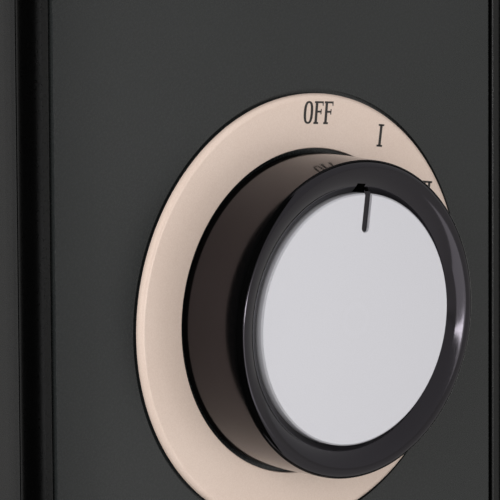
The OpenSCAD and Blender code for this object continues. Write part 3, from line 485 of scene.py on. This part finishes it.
def amberLens():
    # Moulded amber polycarbonate: clear colour with a soft inner glow and faint diffusing prisms
    material, tree, place = newMaterial("amberLens")
    cloud = addNode(tree, "TexNoise", {"Scale": perMm(3), "Detail": 2}, {"Vector": place})
    grain = addNode(tree, "TexNoise", {"Scale": perMm(0.8), "Detail": 2}, {"Vector": place})
    prisms = addNode(tree, "TexWave", {"Scale": perMm(6), "Distortion": 0.2, "Detail": 1.0,
                                       "bands_direction": "Z"}, {"Vector": place}).outputs["Fac"]
    return finishMaterial(material, {"IOR": 1.58, "Transmission Weight": 0.55},
                          (cloud, {0.3: "#e0701a", 0.7: "#f58a26"}), (grain, 0.1, 0.2),
                          [(prisms, 0.05, 0.25)])


def siliconeSleeve():
    # Silicone-rubber lead insulation, extruded: matt brick red that picks up dust
    material, tree, place = newMaterial("siliconeSleeve")
    dust = addNode(tree, "TexNoise", {"Scale": perMm(1.2), "Detail": 4}, {"Vector": place})
    drawn = addNode(tree, "Mapping", {"Scale": (0.2, 1, 1)}, {"Vector": place})
    lines = addNode(tree, "TexNoise", {"Scale": perMm(0.4), "Detail": 2}, {"Vector": drawn})
    return finishMaterial(material, {"IOR": 1.41, "Sheen Weight": 0.15},
                          (dust, {0.3: "#7f2a25", 0.7: "#973a33"}), (dust, 0.55, 0.72),
                          [(lines, 0.006, 0.4)])


def blackRubber():
    # Moulded rubber pads and bush: matt, greyish black with a dusty bloom
    material, tree, place = newMaterial("blackRubber")
    bloom = addNode(tree, "TexNoise", {"Scale": perMm(2.2), "Detail": 4}, {"Vector": place})
    grain = addNode(tree, "TexNoise", {"Scale": perMm(0.4), "Detail": 3}, {"Vector": place})
    return finishMaterial(material, {"IOR": 1.52, "Sheen Weight": 0.1},
                          (bloom, {0.3: "#171717", 0.7: "#232322"}), (bloom, 0.62, 0.8),
                          [(grain, 0.015, 0.5)])


def labelFoil():
    # Blank polyester label: brushed silver film with a soft sheen along its grain
    # the real brush lines are some 0.05 mm wide, too fine to show, and drawn at 0.18 mm
    material, tree, place = newMaterial("labelFoil")
    drawn = addNode(tree, "Mapping", {"Scale": (0.02, 1, 1)}, {"Vector": place})
    brushed = addNode(tree, "TexNoise", {"Scale": perMm(0.18), "Detail": 3}, {"Vector": drawn})
    return finishMaterial(material, {"Metallic": 0.8, "Anisotropic": 0.4},
                          (brushed, {0.3: "#b9bbbe", 0.7: "#d3d5d7"}), (brushed, 0.34, 0.46),
                          [(brushed, 0.003, 0.4)])


# The two dials, modelled upright about the origin: X is the height above the fascia

dial = {
    "faceX": 294.05,
    "y": 4.0,
    "selectorZ": 262.0,
    "thermostatZ": 178.0,
    "selectorTurn": 8.4,
    "thermostatTurn": 225.0,
    "pegCircle": 26.4,
    "pegTurns": (60, 180, 300),
    "steps": 192,
}
dialCentres = {
    "selector": (dial["faceX"], dial["y"], dial["selectorZ"]),
    "thermostat": (dial["faceX"], dial["y"], dial["thermostatZ"]),
}
dialTurns = {"selector": dial["selectorTurn"], "thermostat": dial["thermostatTurn"]}

paint = powderCoat()
cap = capPlastic()
fascia = fasciaPlastic()
lacquer = champagneLacquer()
blackAbs = glossyAbs()
ink = dialInk()
zinc = zincPlate()
discMetal = {name: satinAluminium(name + "Aluminium", dialCentres[name]) for name in dialCentres}
print("stage: main materials")


def makeBezel():
    size = {"outer": 30.0, "inner": 22.5, "thick": 0.9, "edge": 0.8, "innerEdge": 0.15,
            "pegRadius": 1.5, "pegDepth": 4.6, "pegSunk": 0.4, "pegEdge": 0.3}
    outerMiddle = (size["thick"] - size["edge"], size["outer"] - size["edge"])
    innerMiddle = (size["thick"] - size["innerEdge"], size["inner"] + size["innerEdge"])
    profile = [(0, size["inner"]), (0, size["outer"])]
    profile += arcPoints(outerMiddle, size["edge"], 0, 90, 12)
    profile += arcPoints(innerMiddle, size["innerEdge"], 90, 180, 5)
    profile += [(0, size["inner"])]
    ring = turned("bezel", profile, dial["steps"])
    peg = rod("peg", (-size["pegDepth"], 0, dial["pegCircle"]), size["pegDepth"] + size["pegSunk"],
              size["pegRadius"], 32)
    startEdit(peg)
    bpy.ops.mesh.select_all(action="SELECT")
    bpy.ops.transform.rotate(value=math.radians(dial["pegTurns"][0]), orient_axis="X",
                             center_override=(0, 0, 0))
    bpy.ops.mesh.spin(steps=2, dupli=True, angle=fullTurn * 2 / 3, center=(0, 0, 0), axis=(1, 0, 0))
    endEdit()
    roundEdges(peg, size["pegEdge"], 2, lambda a, b: max(a.x, b.x) < 0)
    piece = joined([ring, peg], "bezel")
    smooth(piece, 35)
    return piece


def makeKnob():
    size = {"radius": 22.0, "foot": 0.4, "footEdge": 0.25, "footBreak": 0.07, "crest": 11.9, "edge": 1.0,
            "dip": 10.2, "wall": 2.0, "seatRadius": 17.5, "seat": 9.4, "bossRadius": 6.0, "bossEnd": -2.5,
            "bore": 3.03, "boreTop": 6.4, "ribWidth": 1.19, "ribInner": 12.1, "ribTop": 11.05,
            "ribSunk": 0.2, "ribEdge": 0.12, "notchSides": (-2.275, -0.675), "notchReach": (17.4, 18.7),
            "notchTop": 12}
    # the rim dips from its crest to the disc along an arc
    crestRadius = size["radius"] - size["edge"]
    width = crestRadius - size["seatRadius"]
    drop = size["crest"] - size["dip"]
    hollow = (width ** 2 + drop ** 2) / (2 * drop)
    dipAngle = math.degrees(math.asin(width / hollow))
    profile = [(size["seat"], 0), (size["seat"], size["seatRadius"])]
    profile += arcPoints((size["crest"] - hollow, crestRadius), hollow, 90 + dipAngle, 90, 20)
    profile += arcPoints((size["crest"] - size["edge"], crestRadius), size["edge"], 86, 0, 14)
    insideRadius = size["radius"] - size["wall"]
    ceiling = size["seat"] - size["wall"]
    profile += [(size["foot"] + size["footEdge"], size["radius"]),
                (size["foot"] + size["footBreak"], size["radius"] - size["footBreak"]),
                (size["foot"], size["radius"] - size["footEdge"]),
                (size["foot"], insideRadius), (ceiling, insideRadius), (ceiling, size["bossRadius"]),
                (size["bossEnd"], size["bossRadius"]), (size["bossEnd"], size["bore"]),
                (size["boreTop"], size["bore"]), (size["boreTop"], 0)]
    body = turned("knob", profile, dial["steps"])
    # small notch beside the pointer, in the inner edge of the rim
    sides, reach = size["notchSides"], size["notchReach"]
    notch = block("notch", (size["seat"], sides[0], reach[0]), (size["notchTop"], sides[1], reach[1]))
    cutAway(body, notch)
    # the rib that shows as the pointer at the bottom of the disc's slot
    half = size["ribWidth"] / 2
    rib = block("rib", (size["seat"] - size["ribSunk"], -half, size["ribInner"]),
                (size["ribTop"], half, size["seatRadius"] + size["ribSunk"]))
    roundEdges(rib, size["ribEdge"], 2, lambda a, b: onPlaneX(a, b, size["ribTop"] * mm))
    piece = joined([body, rib], "knob")
    smooth(piece)
    return piece


def makeDisc():
    size = {"radius": 17.4, "seat": 9.4, "top": 11.4, "bevel": 0.2, "ease": 0.03, "turn": 0.02,
            "slotWidth": 1.35, "slotInner": 12.0, "slotEdge": 0.09, "slotCut": (8.4, 12.4), "slotReach": 8}
    # the bevel is eased at both its ends
    bevelFoot = size["top"] - size["bevel"]
    bevelTop = size["radius"] - size["bevel"]
    profile = [(size["seat"], 0), (size["seat"], size["radius"]),
               (bevelFoot - size["ease"], size["radius"]), (bevelFoot, size["radius"] - size["turn"]),
               (size["top"] - 2 * size["turn"], bevelTop + size["turn"]),
               (size["top"], bevelTop - size["ease"]), (size["top"], 0)]
    piece = turned("disc", profile, dial["steps"])
    half = size["slotWidth"] / 2
    cutFrom, cutTo = size["slotCut"]
    slot = rod("slot", (cutFrom, 0, size["slotInner"] + half), cutTo - cutFrom, half, 32)
    startEdit(slot, "FACE")
    pickFaces(slot, lambda middle, normal: normal.z > 0.05 and abs(normal.x) < 0.5)
    bpy.ops.mesh.extrude_region_move(TRANSFORM_OT_translate={"value": (0, 0, size["slotReach"] * mm)})
    endEdit()
    cutAway(piece, slot)

    def slotMouth(a, b):
        # the slot's own edges in the disc's face, with a little room beyond its sides and its inner end
        beside = max(abs(a.y), abs(b.y)) < half * 1.02 * mm
        above = min(a.z, b.z) > (size["slotInner"] - 0.1) * mm
        return onPlaneX(a, b, size["top"] * mm) and beside and above

    roundEdges(piece, size["slotEdge"], 2, slotMouth)
    smooth(piece)
    return piece


def makeDials():
    bezel, knob, disc = makeBezel(), makeKnob(), makeDisc()
    for which, centre in dialCentres.items():
        turn = dialTurns[which]
        piece = placedCopy(bezel, which + "Bezel", centre, 0)
        finishPiece(piece, lacquer, "housing", "champagne_lacquer", which + "_bezel")
        piece = placedCopy(knob, which + "Knob", centre, turn)
        finishPiece(piece, blackAbs, which, "gloss_black", which + "_knob")
        piece = placedCopy(disc, which + "KnobDisc", centre, turn)
        finishPiece(piece, discMetal[which], which, "satin_aluminium", which + "_knob_disc")
    for source in (bezel, knob, disc):
        bpy.data.objects.remove(source)


makeDials()
print("stage: dials")


# Print on the rings: narrow letters with thin serifs, drawn as flat outlines in millimetres

letterShape = {
    "height": 3.15,
    "stem": 0.46,
    "hair": 0.27,
    "serif": 0.3,
    "wide": 1.75,
    "sideBend": 0.75,      # below 1 the sides of a loop are straighter, as in a condensed face
    "endBend": 0.85,
    "thick": 0.008,
    "above": 0.91,         # the print's height over the fascia, just proud of the ring
}
upright = Matrix(((0, 0, 1, 0), (1, 0, 0, 0), (0, 1, 0, 0), (0, 0, 0, 1)))


def oval(centre, halfWidth, halfHeight, count=28):
    points = []
    for i in range(count):
        angle = fullTurn * i / count
        c, s = math.cos(angle), math.sin(angle)
        points.append((centre[0] + halfWidth * math.copysign(abs(c) ** letterShape["sideBend"], c),
                       centre[1] + halfHeight * math.copysign(abs(s) ** letterShape["endBend"], s)))
    return points


def bar(left, low, right, high):
    return [(left, low), (right, low), (right, high), (left, high)]


def letterO():
    half = letterShape["wide"] / 2
    tall = letterShape["height"] / 2
    inner = oval((half, tall), half - letterShape["stem"], tall - letterShape["hair"])
    return [oval((half, tall), half, tall), inner[::-1]], letterShape["wide"]


def letterF():
    tall, stem, hair, serif = (letterShape[k] for k in ("height", "stem", "hair", "serif"))
    width = letterShape["wide"] - 0.1
    left = serif * 0.6
    right = left + stem
    foot = right + serif * 0.8
    half = tall * 0.5
    arm, tick, tickLow, tickHigh = width - 0.45, width - 0.27, tall * 0.42, tall * 0.66
    beak, beakTip, beakLow = width - 0.2, width - 0.12, tall * 0.8
    outline = [(left, hair), (0, hair), (0, 0), (foot, 0), (foot, hair), (right, hair),
               (right, half), (arm, half), (arm, tickLow), (tick, tickLow), (tick, tickHigh),
               (arm, tickHigh), (arm, half + hair), (right, half + hair),
               (right, tall - hair), (beak, tall - hair), (beakTip, beakLow), (width, beakLow),
               (width, tall), (0, tall), (0, tall - hair), (left, tall - hair)]
    return [outline], width


def numeral(count):
    tall, stem, hair, serif = (letterShape[k] for k in ("height", "stem", "hair", "serif"))
    pitch = stem + serif * 1.6
    width = pitch * (count - 1) + stem + 2 * serif
    shapes = [bar(0, 0, width, hair), bar(0, tall - hair, width, tall)]
    for i in range(count):
        left = serif + i * pitch
        shapes.append(bar(left, hair * 0.5, left + stem, tall - hair * 0.5))
    return shapes, width


def drawFlat(name, groups):
    # each group of outlines is filled by itself, so that only a letter's own hole stays open
    pieces = []
    for shapes, shift in groups:
        curve = bpy.data.curves.new(name, "CURVE")
        curve.dimensions = "2D"
        curve.fill_mode = "BOTH"
        curve.extrude = letterShape["thick"] * mm
        for points in shapes:
            spline = curve.splines.new("POLY")
            spline.points.add(len(points) - 1)
            for point, (x, y) in zip(spline.points, points):
                point.co = ((x + shift) * mm, y * mm, 0, 1)
            spline.use_cyclic_u = True
        obj = bpy.data.objects.new(name, curve)
        bpy.context.scene.collection.objects.link(obj)
        focus(obj)
        bpy.ops.object.convert(target="MESH")
        pieces.append(obj)
    return joined(pieces, name)


def onRing(piece, centre, clockwiseDeg, radius, leanDeg):
    # turned from its own plane onto the ring's face, its top outwards
    low = Vector([min(v.co[i] for v in piece.data.vertices) for i in range(3)])
    high = Vector([max(v.co[i] for v in piece.data.vertices) for i in range(3)])
    middle = (low + high) / 2
    angle = math.radians(clockwiseDeg)
    spot = Vector((letterShape["above"], radius * math.sin(angle), radius * math.cos(angle))) * mm
    place = Matrix.Translation(Vector(centre) * mm + spot)
    lean = Matrix.Rotation(math.radians(-leanDeg), 4, "X")
    piece.data.transform(place @ lean @ upright @ Matrix.Translation(-middle))
    return piece


def makeSelectorPrint():
    layout = {"first": 6.0, "step": 26.5, "radius": 27.1, "wordRadius": 27.4, "lean": 6.5,
              "markLean": 9.0, "gap": 0.2, "marks": (1, 2, 3)}
    shapes, shift = [], 0
    for outlines, width in (letterO(), letterF(), letterF()):
        shapes.append((outlines, shift))
        shift += width + layout["gap"]
    centre = dialCentres["selector"]
    word = drawFlat("off", shapes)
    marks = [onRing(word, centre, layout["first"], layout["wordRadius"], layout["lean"])]
    for count in layout["marks"]:
        angle = layout["first"] + layout["step"] * count
        outlines, width = numeral(count)
        mark = drawFlat("mark", [([shape], 0) for shape in outlines])
        marks.append(onRing(mark, centre, angle, layout["radius"], layout["markLean"]))
    return joined(marks, "selectorPrint")


def makeThermostatPrint():
    # a scale that grows from low to high over the knob's 270 degree sweep, with plain numbers
    layout = {"start": 225.0, "sweep": 270.0, "radius": 24.1, "thin": 0.15, "thick": 0.9, "numbers": 6,
              "numberRadius": 27.2, "numberHeight": 2.9, "sizePerHeight": 1.37, "narrow": 0.72, "steps": 90}
    inner, outer = [], []
    for i in range(layout["steps"] + 1):
        share = i / layout["steps"]
        angle = math.radians(layout["start"] + layout["sweep"] * share)
        reach = layout["radius"] + layout["thin"] + (layout["thick"] - layout["thin"]) * share
        inner.append((layout["radius"] * math.sin(angle), layout["radius"] * math.cos(angle)))
        outer.append((reach * math.sin(angle), reach * math.cos(angle)))
    wedge = drawFlat("wedge", [([inner + outer[::-1]], 0)])
    centre = dialCentres["thermostat"]
    spot = (Vector(centre) + Vector((letterShape["above"], 0, 0))) * mm
    wedge.data.transform(Matrix.Translation(spot) @ upright)
    marks = [wedge]
    for i in range(layout["numbers"]):
        angle = layout["start"] + layout["sweep"] * (i + 0.5) / layout["numbers"]
        curve = bpy.data.curves.new("number", "FONT")
        curve.body = str(i + 1)
        curve.size = layout["numberHeight"] * layout["sizePerHeight"] * mm
        curve.extrude = letterShape["thick"] * mm
        number = bpy.data.objects.new("number", curve)
        bpy.context.scene.collection.objects.link(number)
        focus(number)
        bpy.ops.object.convert(target="MESH")
        number.data.transform(Matrix.Diagonal((layout["narrow"], 1, 1, 1)))
        marks.append(onRing(number, centre, angle, layout["numberRadius"], 0))
    return joined(marks, "thermostatPrint")


for printPiece in (makeSelectorPrint(), makeThermostatPrint()):
    finishPiece(printPiece, ink, "housing", None)
print("stage: dial print")


# Fascia: a moulded plate with softened edges, a shallow seat for each ring and its holes

def makeFascia():
    size = {"low": (291.25, -40.5, 98.0), "high": (294.05, 40.5, 342.0), "corner": 6.0, "edge": 0.35,
            "seatInner": 29.6, "seatOuter": 30.55, "seatDepth": 0.5, "seatTop": 1, "bossHole": 8.2,
            "pegHole": 1.6, "lampZ": 118.0, "lampHole": 4.1, "screwHole": 1.45, "screwDepth": 2.0,
            "screwSides": (-32.5, 32.5), "screwHeights": (320.0, 112.0), "cutFrom": 286, "cutLength": 12}
    plate = block("fasciaPlate", size["low"], size["high"])
    roundEdges(plate, size["corner"], 14, alongX)
    roundEdges(plate, size["edge"], 4, acrossX)

    def hole(y, z, radius, steps, length=size["cutLength"]):
        return rod("hole", (size["cutFrom"], y, z), length, radius, steps)

    bottom, top = -size["seatDepth"], size["seatTop"]
    groove = [(bottom, size["seatInner"]), (bottom, size["seatOuter"]), (top, size["seatOuter"]),
              (top, size["seatInner"]), (bottom, size["seatInner"])]
    cutters = []
    for centre in dialCentres.values():
        cutters.append(hole(centre[1], centre[2], size["bossHole"], 96))
        seat = turned("seat", groove, dial["steps"])
        cutters.append(placedCopy(seat, "seatCut", centre, 0))
        bpy.data.objects.remove(seat)
        for turn in dial["pegTurns"]:
            angle = math.radians(turn)
            cutters.append(hole(centre[1] + dial["pegCircle"] * math.sin(angle),
                                centre[2] + dial["pegCircle"] * math.cos(angle), size["pegHole"], 32))
    cutters.append(hole(dial["y"], size["lampZ"], size["lampHole"], 64))
    blindLength = size["low"][0] - size["cutFrom"] + size["screwDepth"]
    for side in size["screwSides"]:
        for height in size["screwHeights"]:
            cutters.append(hole(side, height, size["screwHole"], 32, blindLength))
    for cutter in cutters:
        cutAway(plate, cutter)
    smooth(plate)
    plate.name = "controlFascia"
    return plate


finishPiece(makeFascia(), fascia, "housing", "fascia_plastic", "control_fascia")
print("stage: fascia")


# Housing: the CAD's own forms with their edges rounded as folding, pressing and moulding leave them

housing = {
    "leftFace": -305.95,
    "rightFace": 294.05,
    "frontFace": -44.5,
    "bottom": 50.0,
    "top": 402.0,
    "capCorners": (12.0, 8.0),
    "capRounding": 2.55,
    "panelEnd": 290.85,
    "crownRadius": 7.5,
    "crownWidth": 2.2,
    "panelEdge": 0.18,
    "gripMouth": {"low": 355.0, "high": 386.0, "side": 31.5, "edge": 1.2, "steps": 4},
    "fasciaMouth": {"low": 97.0, "high": 343.0, "side": 41.2, "edge": 0.3, "steps": 3},
    "footEdge": 1.4,
    "padEdge": 0.5,
    "bushEdge": 0.4,
    "screwEdge": 0.25,
}


def capForm(outerX):
    # a block round the cap, its end face softened more broadly than the CAD's first rounding
    loose = 0.01
    deep = 40.0
    side = -housing["frontFace"] + loose
    face = outerX + math.copysign(loose, outerX)
    back = outerX - math.copysign(deep, outerX)
    form = block("capForm", (min(face, back), -side, housing["bottom"] - loose),
                 (max(face, back), side, housing["top"] + loose))
    middle = (housing["bottom"] + housing["top"]) / 2 * mm
    upper, lower = housing["capCorners"]
    roundEdges(form, upper, 16, lambda a, b: alongX(a, b) and min(a.z, b.z) > middle)
    roundEdges(form, lower, 12, lambda a, b: alongX(a, b) and max(a.z, b.z) < middle)
    roundEdges(form, housing["capRounding"], 10, lambda a, b: onPlaneX(a, b, face * mm))
    return form


def crownForm():
    # both panels roll gently inwards over the last two millimetres before the caps
    loose = 0.005
    spare = 5
    beyond = housing["crownRadius"] - housing["crownWidth"]
    side = -housing["frontFace"] + loose
    middle = (housing["leftFace"] + housing["rightFace"]) / 2
    reach = housing["panelEnd"] + beyond - middle
    form = block("crownForm", (middle - reach, -side, housing["bottom"] - spare),
                 (middle + reach, side, housing["top"] + spare))
    roundEdges(form, housing["crownRadius"], 28, lambda a, b: abs(a.z - b.z) > 1 * mm)
    return form


def makePanel(node, name):
    # sheared and punched edges of the sheet, broken by the coating
    piece = mergedCopy(node, name)
    keepWithin(piece, crownForm())
    softenSharp(piece, housing["panelEdge"])
    smooth(piece)
    return finishPiece(piece, paint, "housing", "panel_paint", node)


def roundMouth(piece, outerX, mouth):
    # the edges of an opening in a cap's end face
    def inMouth(a, b):
        tall = min(a.z, b.z) > mouth["low"] * mm and max(a.z, b.z) < mouth["high"] * mm
        wide = max(abs(a.y), abs(b.y)) < mouth["side"] * mm
        return onPlaneX(a, b, outerX * mm) and tall and wide

    roundEdges(piece, mouth["edge"], mouth["steps"], inMouth)


def makeCap(node, name, outerX):
    piece = mergedCopy(node, name)
    keepWithin(piece, capForm(outerX))
    roundMouth(piece, outerX, housing["gripMouth"])
    if outerX > 0:
        roundMouth(piece, outerX, housing["fasciaMouth"])
    smooth(piece)
    return finishPiece(piece, cap, "housing", "cap_plastic", node)


def makeFoot(node, name):
    low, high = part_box(node)
    piece = mergedCopy(node, name)
    roundEdges(piece, housing["footEdge"], 4, lambda a, b: onPlaneX(a, b, low.x) or onPlaneX(a, b, high.x))
    smooth(piece, 40)
    return finishPiece(piece, cap, "housing", "cap_plastic", node)


def makeSoftened(node, name, material, slotName, width):
    # small parts: every sharp edge takes the same light rounding
    piece = mergedCopy(node, name)
    softenSharp(piece, width)
    smooth(piece)
    return finishPiece(piece, material, "housing", slotName, node)


makePanel("front_panel", "frontPanel")
makePanel("rear_panel", "rearPanel")
makeCap("left_end_cap", "leftEndCap", housing["leftFace"])
makeCap("right_end_cap", "rightEndCap", housing["rightFace"])
makeFoot("left_foot", "leftFoot")
makeFoot("right_foot", "rightFoot")
rubber = blackRubber()
makeSoftened("foot_pads", "footPads", rubber, "black_rubber", housing["padEdge"])
makeSoftened("cord_inlet", "cordInlet", rubber, "black_rubber", housing["bushEdge"])
makeSoftened("rear_panel_screws", "rearPanelScrews", zinc, "zinc_steel", housing["screwEdge"])
makeSoftened("front_panel_screws", "frontPanelScrews", zinc, "zinc_steel", housing["screwEdge"])
makeSoftened("bracket_screws", "bracketScrews", zinc, "zinc_steel", housing["screwEdge"])
print("stage: housing, feet and screws")


# CAD nodes whose shape is right already keep it and take a finish

nylon = whiteNylon()
brass = stampedBrass()
sheet = galvanisedSheet()
mill = millAluminium()
phenolic = phenolicMoulding()
finishes = {
    "top_outlet_grille": paint,
    "bottom_inlet_grille": paint,
    "selector_knob_clip": zinc,
    "selector_shaft": zinc,
    "selector_switch": phenolic,
    "thermostat_knob_clip": zinc,
    "thermostat_shaft": zinc,
    "thermostat_body": nylon,
    "control_terminals": brass,
    "control_screws": zinc,
    "fascia_screws": zinc,
    "pilot_lamp_lens": amberLens(),
    "pilot_lamp_body": nylon,
    "front_heating_fins": mill,
    "rear_heating_fins": mill,
    "heating_rods": heatedSteel(),
    "ceramic_bushes": steatite(),
    "left_element_bracket": sheet,
    "right_element_bracket": sheet,
    "front_heat_shield": mill,
    "rear_heat_shield": mill,
    "shield_rivets": mill,
    "thermal_cutout": phenolic,
    "tilt_switch_case": nylon,
    "tilt_switch_pin": zinc,
    "tilt_pendulum": brass,
    "terminal_block": nylon,
    "terminal_screws": brass,
    "bay_screws": zinc,
    "wiring_leads": siliconeSleeve(),
    "foot_screws": zinc,
    "rating_label": labelFoil(),
}
for node, material in finishes.items():
    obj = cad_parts[node]
    obj.data.materials.clear()
    obj.data.materials.append(material)
print("stage: finishes on", len(finishes), "CAD nodes")


# Studio: a pale floor, an even pale surround, soft lamps, two black flags and the camera

studio = {
    "floorSide": 60.0,
    "surroundColour": "#ffffff",
    "surroundLevel": 0.64,
    "flagHigh": 1.5,
    "flagFoot": 0.001,
}
flags = [
    # name, middle of the arc, radius, from angle, to angle
    ("nearFlag", (0.292, -0.044), 0.05, -126.0, 42.0),
    ("farFlag", (0.3, 0.02), 0.06, 75.0, 105.0),
]
lamps = [
    # name, place, aim, lean in degrees, width, height, watts, seen in reflections only
    ("nearLamp", (0.47, -0.32, 0.36), (0.3, 0, 0.26), 0, 0.22, 0.22, 0.8, False),
    ("keyLamp", (1.5, -1.9, 1.35), (0.1, 0, 0.2), 0, 1.4, 1.4, 15.4, False),
    ("leftLamp", (-2.2, -1.6, 1.6), (0, 0, 0.2), 0, 1.4, 1.4, 11.5, False),
    ("backLamp", (0.6, 2.4, 1.6), (0, 0, 0.2), 0, 1.4, 1.4, 11.5, False),
    ("glintLamp", (0.6975, 0.0732, 0.2315), (0.305, 0.004, 0.262), -11, 0.22, 0.016, 0.22, True),
    ("streakLamp", (0.733, 0.095, 0.157), (0.305, 0.004, 0.262), 0, 0.3, 0.16, 0.22, True),
]


def makeFlag(name, middle, radius, fromAngle, toAngle, material):
    # a tall, narrow black curve of cloth, seen in reflections only, that keeps roundings deep black
    flag = startPoint(name, (radius, 0, 0))
    bpy.ops.mesh.extrude_region_move(TRANSFORM_OT_translate={"value": (0, 0, studio["flagHigh"])})
    bpy.ops.mesh.select_all(action="SELECT")
    bpy.ops.transform.rotate(value=math.radians(-toAngle), orient_axis="Z", center_override=(0, 0, 0))
    bpy.ops.mesh.spin(steps=24, angle=math.radians(toAngle - fromAngle), center=(0, 0, 0), axis=(0, 0, 1))
    endEdit()
    flag.location = (*middle, studio["flagFoot"])
    settle(flag, name)
    flag.data.materials.append(material)
    for ray in ("camera", "diffuse", "shadow", "transmission"):
        setattr(flag, "visible_" + ray, False)


def makeFlags():
    # Black velvet: a deep pile that gives next to no light back, in faint patches where it is brushed
    material, tree, place = newMaterial("flagVelvet")
    patches = addNode(tree, "TexNoise", {"Scale": perMm(30), "Detail": 2}, {"Vector": place})
    finishMaterial(material, {"Roughness": 0.9, "Specular IOR Level": 0.0},
                   (patches, {0.3: "#0a0a0a", 0.7: "#101010"}))
    for flag in flags:
        makeFlag(*flag, material)


def makeFloor():
    clearSelection()
    bpy.ops.mesh.primitive_plane_add(size=studio["floorSide"], location=(0, 0, 0))
    floor = settle(bpy.context.object, "studioFloor")
    # Matt backdrop paper, rolled from pulp: off-white, with a faint cloudy look-through
    material, tree, place = newMaterial("paperFloor")
    clouds = addNode(tree, "TexNoise", {"Scale": perMm(4), "Detail": 3}, {"Vector": place})
    finishMaterial(material, {"Roughness": 0.85, "IOR": 1.45}, (clouds, {0.3: "#e2e1de", 0.7: "#e6e5e2"}))
    floor.data.materials.append(material)


def makeWorld():
    world = bpy.data.worlds.new("surround")
    bpy.context.scene.world = world
    world.use_nodes = True
    world.node_tree.nodes.clear()
    tree = world.node_tree
    surround = addNode(tree, "Background", {"Color": linear(studio["surroundColour"]),
                                            "Strength": studio["surroundLevel"]})
    addNode(tree, "OutputWorld", links={"Surface": surround})


def makeLamps():
    for name, place, aim, lean, width, height, watts, mirrored in lamps:
        light = bpy.data.lights.new(name, "AREA")
        light.shape = "RECTANGLE"
        light.size = width
        light.size_y = height
        light.energy = watts
        obj = bpy.data.objects.new(name, light)
        bpy.context.scene.collection.objects.link(obj)
        obj.location = place
        obj.rotation_euler = (Vector(aim) - Vector(place)).to_track_quat("-Z", "Y").to_euler()
        obj.rotation_euler.rotate_axis("Z", math.radians(lean))
        obj.visible_camera = False
        obj.visible_glossy = mirrored
        obj.visible_diffuse = not mirrored


def makeCamera():
    view = {"lens": 526.2, "sensor": 36, "distance": 1.0, "azimuth": 47.80, "elevation": 9.37, "roll": 0.35,
            "aim": (0.29405, -0.00514, 0.27139), "nearest": 0.05, "farthest": 100}
    azimuth, elevation, roll = (math.radians(view[k]) for k in ("azimuth", "elevation", "roll"))
    back = Vector((math.sin(azimuth) * math.cos(elevation),
                   -math.cos(azimuth) * math.cos(elevation), math.sin(elevation)))
    level = Vector((math.cos(azimuth), math.sin(azimuth), 0))
    rise = back.cross(level)
    right = level * math.cos(roll) - rise * math.sin(roll)
    up = level * math.sin(roll) + rise * math.cos(roll)
    data = bpy.data.cameras.new("camera")
    data.lens = view["lens"]
    data.sensor_width = view["sensor"]
    data.clip_start = view["nearest"]
    data.clip_end = view["farthest"]
    camera = bpy.data.objects.new("camera", data)
    bpy.context.scene.collection.objects.link(camera)
    turn = Matrix((right, up, back)).transposed().to_4x4()
    camera.matrix_world = Matrix.Translation(Vector(view["aim"]) + back * view["distance"]) @ turn
    bpy.context.scene.camera = camera


makeFloor()
makeFlags()
makeWorld()
makeLamps()
makeCamera()
bpy.context.scene.view_settings.view_transform = "Standard"
print("stage: studio and camera")
